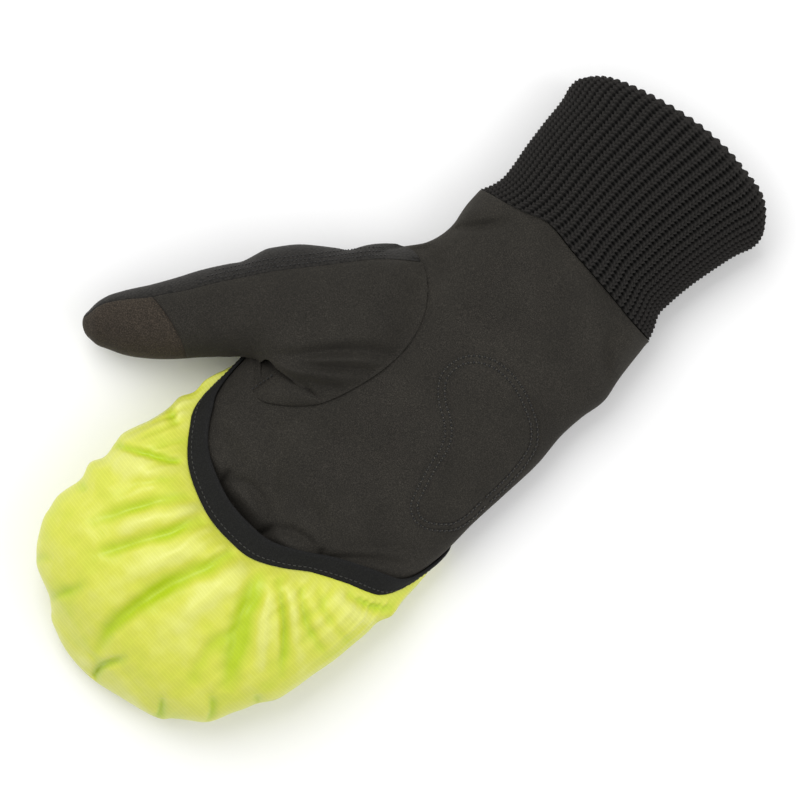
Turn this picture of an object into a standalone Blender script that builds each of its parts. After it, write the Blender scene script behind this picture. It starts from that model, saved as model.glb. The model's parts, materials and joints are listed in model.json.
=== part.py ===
"""A cycling mitten for the right hand, lying on its back with the palm up.

It is a five-finger softshell glove with a ribbed knit cuff, a set-in thumb and a thin windproof
mitten cover that is drawn over the four fingers. Metres, +Z up. +Y runs from the cuff to the
fingertips and +X towards the thumb. The pieces are worked out in the hand's own frame, where X = 0
is the line of the middle of the hand and Y = 0 lies by the open end of the cuff, and an empty then
brings the middle of the whole outline to the origin, with the table at Z = 0.
"""

import math

import bmesh
import bpy
import numpy as np
from mathutils import Matrix, Vector

MM = 0.001
GAP = 0.3 * MM  # sewn pieces lie this far apart

# The knit cuff
CUFF_LENGTH = 66 * MM
CUFF_WIDTH = 87 * MM
CUFF_HEIGHT = 36 * MM
CUFF_WALL = 2.6 * MM
RIB_COUNT = 54
RIB_HEIGHT = 1.0 * MM

# The hand, from the seam at the wrist to the roots of the fingers
WRIST_SEAM_Y = 0.909 * CUFF_LENGTH
HAND_LENGTH = 152 * MM
PALM_WIDTH = 101 * MM
PALM_HEIGHT = 34 * MM
FABRIC_WALL = 1.5 * MM
SIDE_SEAM_Z = 13 * MM  # the palm and the back meet at this height
WRIST_PAST_SHARE = -0.1  # the hollow starts this share of HAND_LENGTH before the wrist
HAND_END_SHARE = 1.0  # the share of HAND_LENGTH at which the fingers part

# The thumb, in its own frame: along its axis, across towards the fingers, and up
THUMB_ROOT_X = 0.297 * PALM_WIDTH
THUMB_ROOT_Y = WRIST_SEAM_Y + 0.4934 * HAND_LENGTH
THUMB_ANGLE = 48.6  # degrees from +X
THUMB_LENGTH = 98 * MM  # from the root to the tip
THUMB_WIDTH = 56 * MM
THUMB_HEIGHT = 41 * MM

# The pad under the palm
PAD_THICKNESS = 2 * MM

# The mitten cover and the binding of its mouth
COVER_LENGTH = 142 * MM
COVER_WIDTH = 112 * MM
COVER_HEIGHT = 44 * MM
COVER_WALL = 1.0 * MM
COVER_TIP_Z = 6 * MM
BINDING_WIDTH = 10 * MM
BINDING_THICKNESS = 1.2 * MM
GATHER_DEPTH = 3 * MM
LIFT = BINDING_THICKNESS + 1.4 * GAP  # the hand lies this high where the cover is under it

# Facets
RING = 36
FINGER_RING = 12
THUMB_RING = 26
COVER_RING = 64
COVER_ROWS = 12
CUFF_ROWS = 3

# The section of every soft tube: 2 would be an ellipse, and more is squarer
ROUND = 2.3
WIDEST_SHARE = 0.42  # the widest point, as a share of the height
FLATTEN_FACTOR = 1.5  # how much of the underside the table flattens

# How far the open end and the sewn end of the cuff reach, by the cosine of the angle round it.
# Both are shares of CUFF_LENGTH. The open end's underside runs straight across instead.
CUFF_ENDS = {
    "cosine": (-1.00, -0.86, -0.45, 0.00, 0.47, 0.82, 1.00),
    "open": (0.12, -0.015, -0.09, -0.075, 0.00, 0.11, 0.24),
    "sewn": (0.86, 0.885, 0.90, 0.91, 0.915, 0.96, 1.02),
}

# along: share of the way up the cuff; left, right: shares of CUFF_WIDTH; top: of CUFF_HEIGHT
CUFF_SECTIONS = {
    "along": (0.00, 0.20, 0.45, 0.70, 0.88, 1.00),
    "left": (-0.495, -0.500, -0.475, -0.460, -0.475, -0.505),
    "right": (0.475, 0.495, 0.465, 0.440, 0.430, 0.425),
    "top": (0.93, 0.97, 0.96, 0.95, 0.97, 1.00),
}

# along: share of HAND_LENGTH from the wrist; left, right: of PALM_WIDTH; top: of PALM_HEIGHT
HAND_SECTIONS = {
    "along": (0.00, 0.105, 0.165, 0.23, 0.29, 0.38, 0.49, 0.59, 0.69, 0.79, 0.89, 0.96, 1.00),
    "left": (-0.445, -0.475, -0.498, -0.490, -0.490, -0.510, -0.515, -0.517, -0.527, -0.520,
             -0.500, -0.480, -0.450),
    "right": (0.368, 0.353, 0.332, 0.347, 0.400, 0.446, 0.480, 0.488, 0.472, 0.457,
              0.457, 0.455, 0.435),
    "top": (1.04, 1.03, 1.02, 0.99, 0.98, 0.98, 0.99, 1.00, 1.00, 0.99, 0.97, 0.94, 0.84),
}
LIFT_FROM_SHARE = 0.50  # share of HAND_LENGTH where the hand starts to rise onto the cover
LIFT_TO_SHARE = 0.57
LAP_END_SHARE = 0.95  # past this share of HAND_LENGTH the mouth of the cover keeps the hand's width

# name: middle as a share of PALM_WIDTH, width and length in metres, sideways lean of the tip
FINGERS = {
    "index": (0.325, 22.0 * MM, 56 * MM, 3.0 * MM),
    "middle": (0.098, 21.5 * MM, 66 * MM, 1.5 * MM),
    "ring": (-0.128, 20.5 * MM, 60 * MM, 0.0 * MM),
    "little": (-0.347, 19.5 * MM, 42 * MM, -1.0 * MM),
}
FINGER_HEIGHT = 24 * MM
FINGER_ROOT_SHARE = 0.90  # share of HAND_LENGTH at which a finger starts, inside the hand
# along: share of the finger's whole length; size: share of its width and height there
FINGER_SECTIONS = {
    "along": (0.00, 0.40, 0.75, 0.90, 0.97, 1.00),
    "size": (1.00, 0.98, 0.94, 0.80, 0.58, 0.32),
}

# along: share of THUMB_LENGTH from the root; outer, inner: of THUMB_WIDTH; bottom, top: of
# THUMB_HEIGHT. The rows before 0.35 are the ball of the thumb, which the palm cuts off.
THUMB_SECTIONS = {
    "along": (-0.275, -0.225, -0.145, -0.05, 0.09, 0.20, 0.28, 0.325, 0.355, 0.385, 0.46, 0.60,
              0.76, 0.88, 0.95, 0.985),
    "outer": (-0.30, -0.46, -0.50, -0.50, -0.49, -0.49, -0.48, -0.47, -0.455, -0.435, -0.385,
              -0.300, -0.225, -0.165, -0.115, -0.060),
    "inner": (0.00, 0.14, 0.32, 0.48, 0.61, 0.64, 0.62, 0.55, 0.36, 0.205, 0.200, 0.196,
              0.192, 0.160, 0.115, 0.070),
    "bottom": (0.30, 0.14, 0.075, 0.07, 0.07, 0.08, 0.10, 0.13, 0.15, 0.15, 0.11, 0.07,
               0.07, 0.09, 0.13, 0.22),
    "top": (0.62, 0.86, 0.95, 0.99, 1.00, 0.99, 0.96, 0.92, 0.89, 0.86, 0.81, 0.75,
            0.69, 0.63, 0.56, 0.46),
}
THUMB_WIDEST_SHARE = 0.15  # share of THUMB_LENGTH at which the ball of the thumb is widest
# The seam between the thumb's front and back lies in one plane through these three points:
# along as a share of THUMB_LENGTH, across of THUMB_WIDTH, up of THUMB_HEIGHT
THUMB_SEAM = ((0.00, -0.455, 0.58), (0.98, -0.060, 0.42), (0.60, 0.196, 0.26))
# The seam of the tip's patch, on the inner and the outer edge, as shares of THUMB_LENGTH
PATCH_INNER_SHARE = 0.61
PATCH_OUTER_SHARE = 0.74
# The gusset's corners, across and along as shares of THUMB_WIDTH and THUMB_LENGTH
GUSSET = ((0.215, 0.22), (0.215, 0.42), (0.43, 0.42), (0.43, 0.36))

# The stitched pad: y as a share of HAND_LENGTH; left and right as shares of PALM_WIDTH
PAD_ROWS = {
    "along": (0.305, 0.33, 0.36, 0.40, 0.44, 0.485, 0.545, 0.595, 0.64, 0.665, 0.68),
    "left": (-0.275, -0.355, -0.415, -0.455, -0.475, -0.480, -0.483, -0.483, -0.480, -0.465, -0.435),
    "right": (-0.140, -0.070, -0.040, -0.035, -0.060, -0.150, -0.257, -0.270, -0.300, -0.330, -0.375),
}
PAD_ACROSS = 8
PAD_EDGE_COSINE = -0.93  # the pad goes no further round the hand's side than this cosine

# The mouth of the cover: angle round the hand in degrees, and the outer edge of the binding as a
# share of HAND_LENGTH from the wrist. 90 is the middle of the palm and 270 the middle of the back.
MOUTH = {
    "angle": (0, 8, 20, 35, 48, 62, 75, 87, 98, 110, 120, 137, 150, 160, 170, 180, 210, 240, 270,
              300, 320, 340, 360),
    "reach": (0.815, 0.850, 0.895, 0.960, 1.005, 1.033, 1.049, 1.049, 1.039, 1.000, 0.957, 0.905,
              0.880, 0.857, 0.805, 0.725, 0.665, 0.630, 0.625, 0.650, 0.730, 0.805, 0.815),
    "narrow": (0.65, 0.80, 0.95, 1.00, 1.00, 1.00, 1.00, 1.00, 1.00, 1.00, 1.00, 1.00,
               1.00, 1.00, 0.95, 0.80, 0.65, 0.60, 0.60, 0.60, 0.60, 0.60, 0.65),
}

# along: share of COVER_LENGTH from the cover's lowest row; left, right: of COVER_WIDTH;
# top: of COVER_HEIGHT
COVER_FOOT_SHARE = 0.592  # share of HAND_LENGTH at which the cover's lowest row lies
COVER_SECTIONS = {
    "along": (0.00, 0.14, 0.25, 0.35, 0.45, 0.55, 0.65, 0.74, 0.82, 0.88, 0.93, 0.97, 0.99),
    "left": (-0.472, -0.495, -0.519, -0.508, -0.504, -0.495, -0.475, -0.445, -0.390, -0.330,
             -0.275, -0.190, -0.110),
    "right": (0.430, 0.432, 0.465, 0.473, 0.477, 0.495, 0.492, 0.483, 0.460, 0.420,
              0.330, 0.220, 0.130),
    "top": (0.80, 0.84, 0.89, 0.94, 0.98, 1.00, 0.99, 0.95, 0.87, 0.75, 0.59, 0.40, 0.28),
}
COVER_LOOSEN_SHARE = 0.24  # share of the cover's own length over which it swells from the hand
COVER_TIP_SHARE = -0.01  # share of COVER_WIDTH
# The main gathers: the angle round the mouth in degrees and the depth as a share of GATHER_DEPTH
GATHERS = {
    "angle": (12, 32, 50, 66, 80, 93, 112, 132, 152, 170),
    "depth": (0.8, 1.0, 0.7, 0.8, 0.5, 1.0, 0.9, 0.7, 0.9, 0.6),
}
GATHER_SPREAD = 5.5  # degrees
GATHER_FADE_SHARE = 0.75  # share of the way to the tip at which a gather has faded

REACH = 0.5  # half the side of a cutting block, longer than the mitten

COLLECTION = "cycling_mitten"
CUTTERS = "cutters"


def clear_scene():
    for old in list(bpy.data.objects):
        bpy.data.objects.remove(old, do_unlink=True)


def collection_named(name):
    made = bpy.data.collections.new(name)
    bpy.context.scene.collection.children.link(made)
    return made


def smooth(table, column, where, along="along"):
    """A cubic curve through the rows of a table, each row's slope taken from its neighbours."""
    stations = np.asarray(table[along], float)
    values = np.asarray(table[column], float)
    slopes = np.gradient(values, stations)
    row = np.clip(np.searchsorted(stations, where) - 1, 0, len(stations) - 2)
    span = stations[row + 1] - stations[row]
    part = np.clip((where - stations[row]) / span, 0.0, 1.0)
    rest = 1.0 - part
    return (
        (1 + 2 * part) * rest**2 * values[row]
        + part * rest**2 * span * slopes[row]
        + part**2 * (3 - 2 * part) * values[row + 1]
        - part**2 * rest * span * slopes[row + 1]
    )


def ease(part):
    """0 to 1 with no corner at either end."""
    part = np.clip(part, 0.0, 1.0)
    return part * part * (3 - 2 * part)


def angles(count):
    return np.arange(count) * (2 * math.pi / count)


def section(left, right, bottom, top, angle, grow=0.0):
    """Across and up on a soft tube that lies on the table: a superellipse with a flat underside."""
    left, right = left - grow, right + grow
    bottom, top = bottom - grow, top + grow
    middle = bottom + WIDEST_SHARE * (top - bottom)
    cosine = np.cos(angle)
    rise = (1 - np.abs(cosine) ** ROUND) ** (1 / ROUND)
    across = (left + right) / 2 + (right - left) / 2 * cosine
    above = middle + (top - middle) * rise
    below = middle - (middle - bottom) * np.minimum(1.0, rise * FLATTEN_FACTOR)
    return across, np.where(np.sin(angle) >= 0, above, below)


def hand_points(along, angle, grow=0.0):
    """Points on the hand. along is a share of HAND_LENGTH and may differ from point to point."""
    lift = LIFT * ease((along - LIFT_FROM_SHARE) / (LIFT_TO_SHARE - LIFT_FROM_SHARE))
    x, z = section(
        smooth(HAND_SECTIONS, "left", along) * PALM_WIDTH,
        smooth(HAND_SECTIONS, "right", along) * PALM_WIDTH,
        lift,
        smooth(HAND_SECTIONS, "top", along) * PALM_HEIGHT,
        angle,
        grow,
    )
    return np.stack([x, WRIST_SEAM_Y + along * HAND_LENGTH + 0 * x, z], axis=-1)


def lap_points(along, angle, grow):
    """Points round the hand where the mouth of the cover lies on it, or spans past its knuckles."""
    points = hand_points(np.minimum(along, LAP_END_SHARE), angle, grow)
    points[..., 1] = WRIST_SEAM_Y + along * HAND_LENGTH
    return points


def seam_y(angle):
    """The wrist seam, which climbs a little on the thumb's side."""
    return smooth(CUFF_ENDS, "sewn", np.cos(angle), along="cosine") * CUFF_LENGTH


def open_end_y(angle):
    """The cuff's open end: the curve of the table on top, and straight across underneath."""
    cosine = np.cos(angle)
    upper = smooth(CUFF_ENDS, "open", cosine, along="cosine")
    first, last = CUFF_ENDS["open"][0], CUFF_ENDS["open"][-1]
    lower = first + (last - first) * (1 + cosine) / 2
    turned = ease(0.5 + np.sin(angle) / 0.6)
    return (lower + (upper - lower) * turned) * CUFF_LENGTH


def add_object(name, mesh, collection):
    made = bpy.data.objects.new(name, mesh)
    collection.objects.link(made)
    return made


def grid_mesh(name, rings, first_pole=None, last_pole=None, closed_round=True):
    """A mesh over rows of points, with a fan to a pole at either end where one is given."""
    rows, count, _ = rings.shape
    points = rings.reshape(-1, 3)
    turn = np.arange(count if closed_round else count - 1)
    after = (turn + 1) % count
    faces = []
    for row in range(rows - 1):
        low, high = row * count, (row + 1) * count
        faces += np.stack([low + turn, high + turn, high + after, low + after], 1).tolist()
    for pole, row, order in ((first_pole, 0, 1), (last_pole, rows - 1, -1)):
        if pole is None:
            continue
        points = np.vstack([points, pole])
        fan = [turn + row * count, after + row * count, np.full(len(turn), len(points) - 1)]
        faces += np.stack(fan[::order], 1).tolist()
    mesh = bpy.data.meshes.new(name)
    mesh.from_pydata(points.tolist(), [], faces)
    return mesh


def loft(name, rings, collection):
    """A closed body through the rings, with a flat fan over each end."""
    mesh = grid_mesh(name, rings, rings[0].mean(axis=0), rings[-1].mean(axis=0))
    facing_out(mesh)
    return add_object(name, mesh, collection)


def facing_out(mesh):
    shaped = bmesh.new()
    shaped.from_mesh(mesh)
    bmesh.ops.recalc_face_normals(shaped, faces=shaped.faces)
    shaped.to_mesh(mesh)
    shaped.free()


def wall(piece, thickness):
    """Gives an open surface its thickness, inwards from the face."""
    solidify = piece.modifiers.new("wall", "SOLIDIFY")
    solidify.thickness = thickness
    solidify.offset = -1
    solidify.use_even_offset = False


def join(piece, operation, tool):
    boolean = piece.modifiers.new(tool.name, "BOOLEAN")
    boolean.operation = operation
    boolean.object = tool
    boolean.solver = "MANIFOLD"


def as_cutter(tool):
    tool.hide_render = True
    tool.display_type = "WIRE"


def settled(piece, name, collection):
    """A new object that holds the piece's mesh with its modifiers carried out."""
    bpy.context.view_layer.update()
    graph = bpy.context.evaluated_depsgraph_get()
    return add_object(name, bpy.data.meshes.new_from_object(piece.evaluated_get(graph)), collection)


def half_space(name, point, normal, collection):
    """A block whose one face goes through the point, with the rest of it on the normal's side."""
    turned = Vector(normal).to_track_quat("Z", "Y").to_matrix().to_4x4()
    placed = Matrix.Translation(Vector(point)) @ turned @ Matrix.Translation((0, 0, REACH))
    block = bmesh.new()
    bmesh.ops.create_cube(block, size=2 * REACH, matrix=placed)
    mesh = bpy.data.meshes.new(name)
    block.to_mesh(mesh)
    block.free()
    made = add_object(name, mesh, collection)
    as_cutter(made)
    return made


def make_knit_cuff(parts):
    """A tube with a rib for every two columns of points, rounded in by the open end."""
    angle = angles(2 * RIB_COUNT)
    rib = np.where(np.arange(2 * RIB_COUNT) % 2 == 0, RIB_HEIGHT / 2, -RIB_HEIGHT / 2)
    end = open_end_y(angle)
    seam = seam_y(angle) - GAP
    rings = []
    for along in np.linspace(0, 1, CUFF_ROWS + 1):
        x, z = section(
            smooth(CUFF_SECTIONS, "left", along) * CUFF_WIDTH,
            smooth(CUFF_SECTIONS, "right", along) * CUFF_WIDTH,
            0.0,
            smooth(CUFF_SECTIONS, "top", along) * CUFF_HEIGHT,
            angle,
            rib,
        )
        rings.append(np.stack([x, end + along * (seam - end), np.maximum(z, 0.0)], axis=-1))
    mesh = grid_mesh("knit_cuff", np.array(rings))
    cuff = add_object("knit_cuff", mesh, parts)
    wall(cuff, CUFF_WALL)
    return cuff


def hand_body(name, grow, start, end, collection):
    """The hand's outside for grow 0, or its hollow for a negative grow."""
    angle = angles(RING)
    inside = [row for row in HAND_SECTIONS["along"][1:-1] if start < row < end]
    rings = [hand_points(along, angle, grow) for along in [0.0, *inside, end]]
    rings[0][:, 1] = seam_y(angle) + start * HAND_LENGTH
    return loft(name, np.array(rings), collection)


def finger_body(name, finger, grow, start, collection):
    """One finger's outside or hollow, from inside the hand to the tip."""
    middle, width, length, lean = FINGERS[finger]
    root = WRIST_SEAM_Y + FINGER_ROOT_SHARE * HAND_LENGTH
    whole = WRIST_SEAM_Y + HAND_LENGTH + length - root
    rings = []
    for along in FINGER_SECTIONS["along"]:
        size = smooth(FINGER_SECTIONS, "size", along)
        x, z = section(
            middle * PALM_WIDTH + lean * along - width * size / 2,
            middle * PALM_WIDTH + lean * along + width * size / 2,
            LIFT + GAP + FINGER_HEIGHT * (1 - size) / 2,
            LIFT + GAP + FINGER_HEIGHT * (1 + size) / 2,
            angles(FINGER_RING),
            grow,
        )
        y = root + start + along * (whole + grow - start)
        rings.append(np.stack([x, np.full_like(x, y), z], axis=-1))
    return loft(name, np.array(rings), collection)


def hand_and_fingers(name, grow, start, end, finger_start, cutters):
    """One body of the hand joined to its four fingers, to be used as a shape or as its hollow."""
    body = hand_body(name + "_palm", grow, start, end, cutters)
    as_cutter(body)
    for finger in FINGERS:
        tube = finger_body(f"{name}_{finger}", finger, grow, finger_start, cutters)
        as_cutter(tube)
        join(body, "UNION", tube)
    joined = settled(body, name, cutters)
    as_cutter(joined)
    return joined


def thumb_axes():
    turn = math.radians(THUMB_ANGLE)
    along = Vector((math.cos(turn), math.sin(turn), 0))
    across = Vector((-math.sin(turn), math.cos(turn), 0))
    return Vector((THUMB_ROOT_X, THUMB_ROOT_Y, 0)), along, across


def thumb_point(along, across, up=0.0):
    """A point by shares of the thumb's length, width and height."""
    root, forward, sideways = thumb_axes()
    raised = Vector((0, 0, up * THUMB_HEIGHT))
    return root + forward * (along * THUMB_LENGTH) + sideways * (across * THUMB_WIDTH) + raised


def thumb_body(name, grow, collection):
    """The thumb with its ball. A hollow, with a negative grow, also draws in at both ends."""
    root, forward, sideways = (np.array(v) for v in thumb_axes())
    angle = angles(THUMB_RING)
    rings = []
    for along in THUMB_SECTIONS["along"]:
        across, up = section(
            smooth(THUMB_SECTIONS, "outer", along) * THUMB_WIDTH,
            smooth(THUMB_SECTIONS, "inner", along) * THUMB_WIDTH,
            smooth(THUMB_SECTIONS, "bottom", along) * THUMB_HEIGHT,
            smooth(THUMB_SECTIONS, "top", along) * THUMB_HEIGHT,
            angle,
            grow,
        )
        inwards = np.clip((along - THUMB_WIDEST_SHARE) / THUMB_WIDEST_SHARE, -1.0, 1.0)
        station = along * THUMB_LENGTH + grow * inwards
        ring = root + station * forward + across[:, None] * sideways
        ring[:, 2] = up
        rings.append(ring)
    return loft(name, np.array(rings), collection)


def make_hand(parts, cutters, thumb_hollow):
    """The palm panel and the back panel, each with its side of the four fingers."""
    outside = hand_and_fingers("hand_outside", 0.0, GAP / HAND_LENGTH, HAND_END_SHARE, 0.0, cutters)
    hollow = hand_and_fingers(
        "hand_hollow",
        -FABRIC_WALL,
        WRIST_PAST_SHARE,
        HAND_END_SHARE - FABRIC_WALL / HAND_LENGTH,
        -3 * FABRIC_WALL,
        cutters,
    )
    join(outside, "DIFFERENCE", hollow)
    join(outside, "DIFFERENCE", thumb_hollow)
    shell = settled(outside, "hand_shell", cutters)
    as_cutter(shell)
    for name, side in (("palm_panel", 1), ("back_panel", -1)):
        panel = add_object(name, shell.data.copy(), parts)
        seam = Vector((0, 0, SIDE_SEAM_Z + side * GAP / 2))
        join(panel, "INTERSECT", half_space(name + "_side", seam, (0, 0, side), cutters))


def make_thumb(parts, cutters, thumb_hollow):
    """The thumb's front, back, tip patch and gusset, cut from one set-in sleeve."""
    sleeve = thumb_body("thumb_outside", 0.0, cutters)
    as_cutter(sleeve)
    join(sleeve, "DIFFERENCE", thumb_hollow)
    clearance = hand_body("hand_clearance", GAP, WRIST_PAST_SHARE, HAND_END_SHARE, cutters)
    as_cutter(clearance)
    join(sleeve, "DIFFERENCE", clearance)
    shell = settled(sleeve, "thumb_shell", cutters)
    as_cutter(shell)

    corners = [thumb_point(*shares) for shares in THUMB_SEAM]
    upward = (corners[1] - corners[0]).cross(corners[2] - corners[0]).normalized()
    upward = upward if upward.z > 0 else -upward
    front_side = half_space("thumb_front_side", corners[0] + upward * GAP / 2, upward, cutters)
    back_side = half_space("thumb_back_side", corners[0] - upward * GAP / 2, -upward, cutters)

    inner = thumb_point(PATCH_INNER_SHARE, THUMB_SECTIONS["inner"][-5])
    outer = thumb_point(PATCH_OUTER_SHARE, THUMB_SECTIONS["outer"][-4])
    tipward = Vector((0, 0, 1)).cross(inner - outer).normalized()
    tipward = tipward if tipward.dot(thumb_axes()[1]) > 0 else -tipward
    tip_side = half_space("tip_side", inner + tipward * GAP / 2, tipward, cutters)
    root_side = half_space("root_side", inner - tipward * GAP / 2, -tipward, cutters)

    gusset_block = prism("gusset_block", [thumb_point(a, b) for b, a in GUSSET], 0.0, cutters)
    gusset_room = prism("gusset_room", [thumb_point(a, b) for b, a in GUSSET], GAP, cutters)

    front = add_object("thumb_front", shell.data.copy(), parts)
    join(front, "INTERSECT", front_side)
    join(front, "INTERSECT", root_side)
    join(front, "DIFFERENCE", gusset_room)
    patch = add_object("thumb_tip_patch", shell.data.copy(), parts)
    join(patch, "INTERSECT", front_side)
    join(patch, "INTERSECT", tip_side)
    gusset = add_object("thumb_gusset", shell.data.copy(), parts)
    join(gusset, "INTERSECT", front_side)
    join(gusset, "INTERSECT", gusset_block)
    back = add_object("thumb_back", shell.data.copy(), parts)
    join(back, "INTERSECT", back_side)


def prism(name, corners, grow, collection):
    """An upright block over a plan outline, pushed outwards from the outline's middle by grow."""
    centre = sum(corners, Vector()) / len(corners)
    spread = [corner + (corner - centre).normalized() * 2 * grow for corner in corners]
    block = bmesh.new()
    floor = [block.verts.new((p.x, p.y, -PALM_HEIGHT)) for p in spread]
    base = block.faces.new(floor)
    risen = bmesh.ops.extrude_face_region(block, geom=[base])
    moved = [v for v in risen["geom"] if isinstance(v, bmesh.types.BMVert)]
    bmesh.ops.translate(block, verts=moved, vec=(0, 0, 3 * PALM_HEIGHT))
    bmesh.ops.recalc_face_normals(block, faces=block.faces)
    mesh = bpy.data.meshes.new(name)
    block.to_mesh(mesh)
    block.free()
    made = add_object(name, mesh, collection)
    as_cutter(made)
    return made


def make_palm_pad(parts):
    """A thin bean-shaped sheet against the inside of the palm."""
    depth = FABRIC_WALL + GAP
    rings = []
    for along in PAD_ROWS["along"]:
        left = smooth(HAND_SECTIONS, "left", along) * PALM_WIDTH + depth
        right = smooth(HAND_SECTIONS, "right", along) * PALM_WIDTH - depth
        edges = [smooth(PAD_ROWS, side, along) * PALM_WIDTH for side in ("left", "right")]
        cosines = [(2 * edge - left - right) / (right - left) for edge in edges]
        angle = np.arccos(np.linspace(cosines[1], max(cosines[0], PAD_EDGE_COSINE), PAD_ACROSS + 1))
        rings.append(hand_points(along, angle, -depth))
    mesh = grid_mesh("palm_pad", np.array(rings), closed_round=False)
    pad = add_object("palm_pad", mesh, parts)
    wall(pad, PAD_THICKNESS)
    return pad


def mouth_reach(angle):
    """The binding's outer edge, as a share of HAND_LENGTH."""
    return smooth(MOUTH, "reach", np.degrees(angle), along="angle")


def make_mouth_binding(parts):
    """A closed band round the hand, one facet wide, that ends where the cover starts."""
    angle = angles(COVER_RING)
    outer = mouth_reach(angle)
    width = smooth(MOUTH, "narrow", np.degrees(angle), along="angle") * BINDING_WIDTH
    inner = outer - width / HAND_LENGTH
    rings = [lap_points(along, angle, GAP + BINDING_THICKNESS) for along in (inner, outer)]
    for ring in rings:
        ring[:, 2] = np.maximum(ring[:, 2], 0.0)
    band = add_object("mouth_binding", grid_mesh("mouth_binding", np.array(rings)), parts)
    wall(band, BINDING_THICKNESS)
    return band


def cover_points(part, angle):
    """Points on the cover: part is 0 on the mouth and 1 at the tip, along each angle."""
    foot = WRIST_SEAM_Y + COVER_FOOT_SHARE * HAND_LENGTH
    start = WRIST_SEAM_Y + mouth_reach(angle) * HAND_LENGTH + GAP
    y = start + part * (foot + COVER_LENGTH - start)
    along = (y - foot) / COVER_LENGTH
    across, up = section(
        smooth(COVER_SECTIONS, "left", along) * COVER_WIDTH,
        smooth(COVER_SECTIONS, "right", along) * COVER_WIDTH,
        0.0,
        smooth(COVER_SECTIONS, "top", along) * COVER_HEIGHT,
        angle,
    )
    own = np.stack([across, y, up], axis=-1)
    laid = lap_points((y - WRIST_SEAM_Y) / HAND_LENGTH, angle, GAP + COVER_WALL)
    swell = ease(part / COVER_LOOSEN_SHARE)
    points = laid + (own - laid) * np.expand_dims(swell, -1)
    pulled = 0.0
    for at, depth in zip(GATHERS["angle"], GATHERS["depth"]):
        pulled = pulled + depth * np.exp(-(((np.degrees(angle) - at) / GATHER_SPREAD) ** 2))
    fade = swell * ease((GATHER_FADE_SHARE - part) / GATHER_FADE_SHARE)
    drop = GATHER_DEPTH * pulled * fade
    points[..., 0] -= drop * np.cos(angle)
    points[..., 2] = np.maximum(points[..., 2] - drop * np.sin(angle), 0.0)
    return points


def make_mitten_cover(parts):
    """A thin pouch, closed at the tip, whose mouth follows the binding."""
    angle = angles(COVER_RING)
    parts_along = 1 - (1 - np.linspace(0, 0.965, COVER_ROWS)) ** 1.5
    rings = np.array([cover_points(np.full(COVER_RING, part), angle) for part in parts_along])
    foot = WRIST_SEAM_Y + COVER_FOOT_SHARE * HAND_LENGTH
    tip = (COVER_TIP_SHARE * COVER_WIDTH, foot + COVER_LENGTH, COVER_TIP_Z)
    cover = add_object("mitten_cover", grid_mesh("mitten_cover", rings, None, tip), parts)
    wall(cover, COVER_WALL)
    return cover


def centre_on_origin(parts, cutters):
    """Hangs every piece and cutter on an empty that puts the outline's middle over the origin."""
    bpy.context.view_layer.update()
    graph = bpy.context.evaluated_depsgraph_get()
    corners = np.array(
        [corner[:] for piece in parts.objects for corner in piece.evaluated_get(graph).bound_box]
    )
    middle = (corners.min(axis=0) + corners.max(axis=0)) / 2
    origin = bpy.data.objects.new("mitten_origin", None)
    origin.location = (-middle[0], -middle[1], 0)
    parts.objects.link(origin)
    for piece in [*parts.objects, *cutters.objects]:
        if piece.type == "MESH":
            piece.parent = origin


# node: its material's colour as linear RGB, and its roughness
FINISHES = {
    "knit_cuff": ((0.013, 0.013, 0.013), 0.95),
    "palm_panel": ((0.021, 0.019, 0.016), 0.80),
    "back_panel": ((0.020, 0.018, 0.016), 0.80),
    "thumb_front": ((0.021, 0.019, 0.016), 0.80),
    "thumb_back": ((0.016, 0.015, 0.014), 0.90),
    "thumb_tip_patch": ((0.026, 0.021, 0.017), 0.85),
    "thumb_gusset": ((0.019, 0.017, 0.015), 0.80),
    "palm_pad": ((0.050, 0.048, 0.045), 0.90),
    "mitten_cover": ((0.65, 0.80, 0.04), 0.45),
    "mouth_binding": ((0.014, 0.014, 0.015), 0.75),
}


def finish(parts):
    for piece in parts.objects:
        if piece.type != "MESH":
            continue
        colour, roughness = FINISHES[piece.name]
        material = bpy.data.materials.new(piece.name)
        material.use_nodes = True
        shader = material.node_tree.nodes["Principled BSDF"]
        shader.inputs["Base Color"].default_value = (*colour, 1.0)
        shader.inputs["Roughness"].default_value = roughness
        shader.inputs["Metallic"].default_value = 0.0
        piece.data.materials.clear()
        piece.data.materials.append(material)


def main():
    clear_scene()
    parts = collection_named(COLLECTION)
    cutters = collection_named(CUTTERS)
    thumb_hollow = thumb_body("thumb_hollow", -FABRIC_WALL, cutters)
    as_cutter(thumb_hollow)
    make_knit_cuff(parts)
    make_hand(parts, cutters, thumb_hollow)
    make_thumb(parts, cutters, thumb_hollow)
    make_palm_pad(parts)
    make_mouth_binding(parts)
    make_mitten_cover(parts)
    finish(parts)
    centre_on_origin(parts, cutters)


main()
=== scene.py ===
"""The looks of a cycling mitten: a softshell glove with a knit cuff and a thin cover over its fingers.

It is laid out as a Blender add-on and run as a script. The surfaces are worked out in the hand's own
frame, in millimetres: X = 0 is the line of the middle of the hand, Y = 0 lies by the open end of the
cuff, +Y runs to the fingertips, +X to the thumb, and the table is at Z = 0. to_row then brings them
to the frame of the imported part, whose boxes say where that frame lies.
"""

import json
import math
from types import SimpleNamespace

import bpy
import numpy as np
from mathutils import Matrix, Vector

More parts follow.
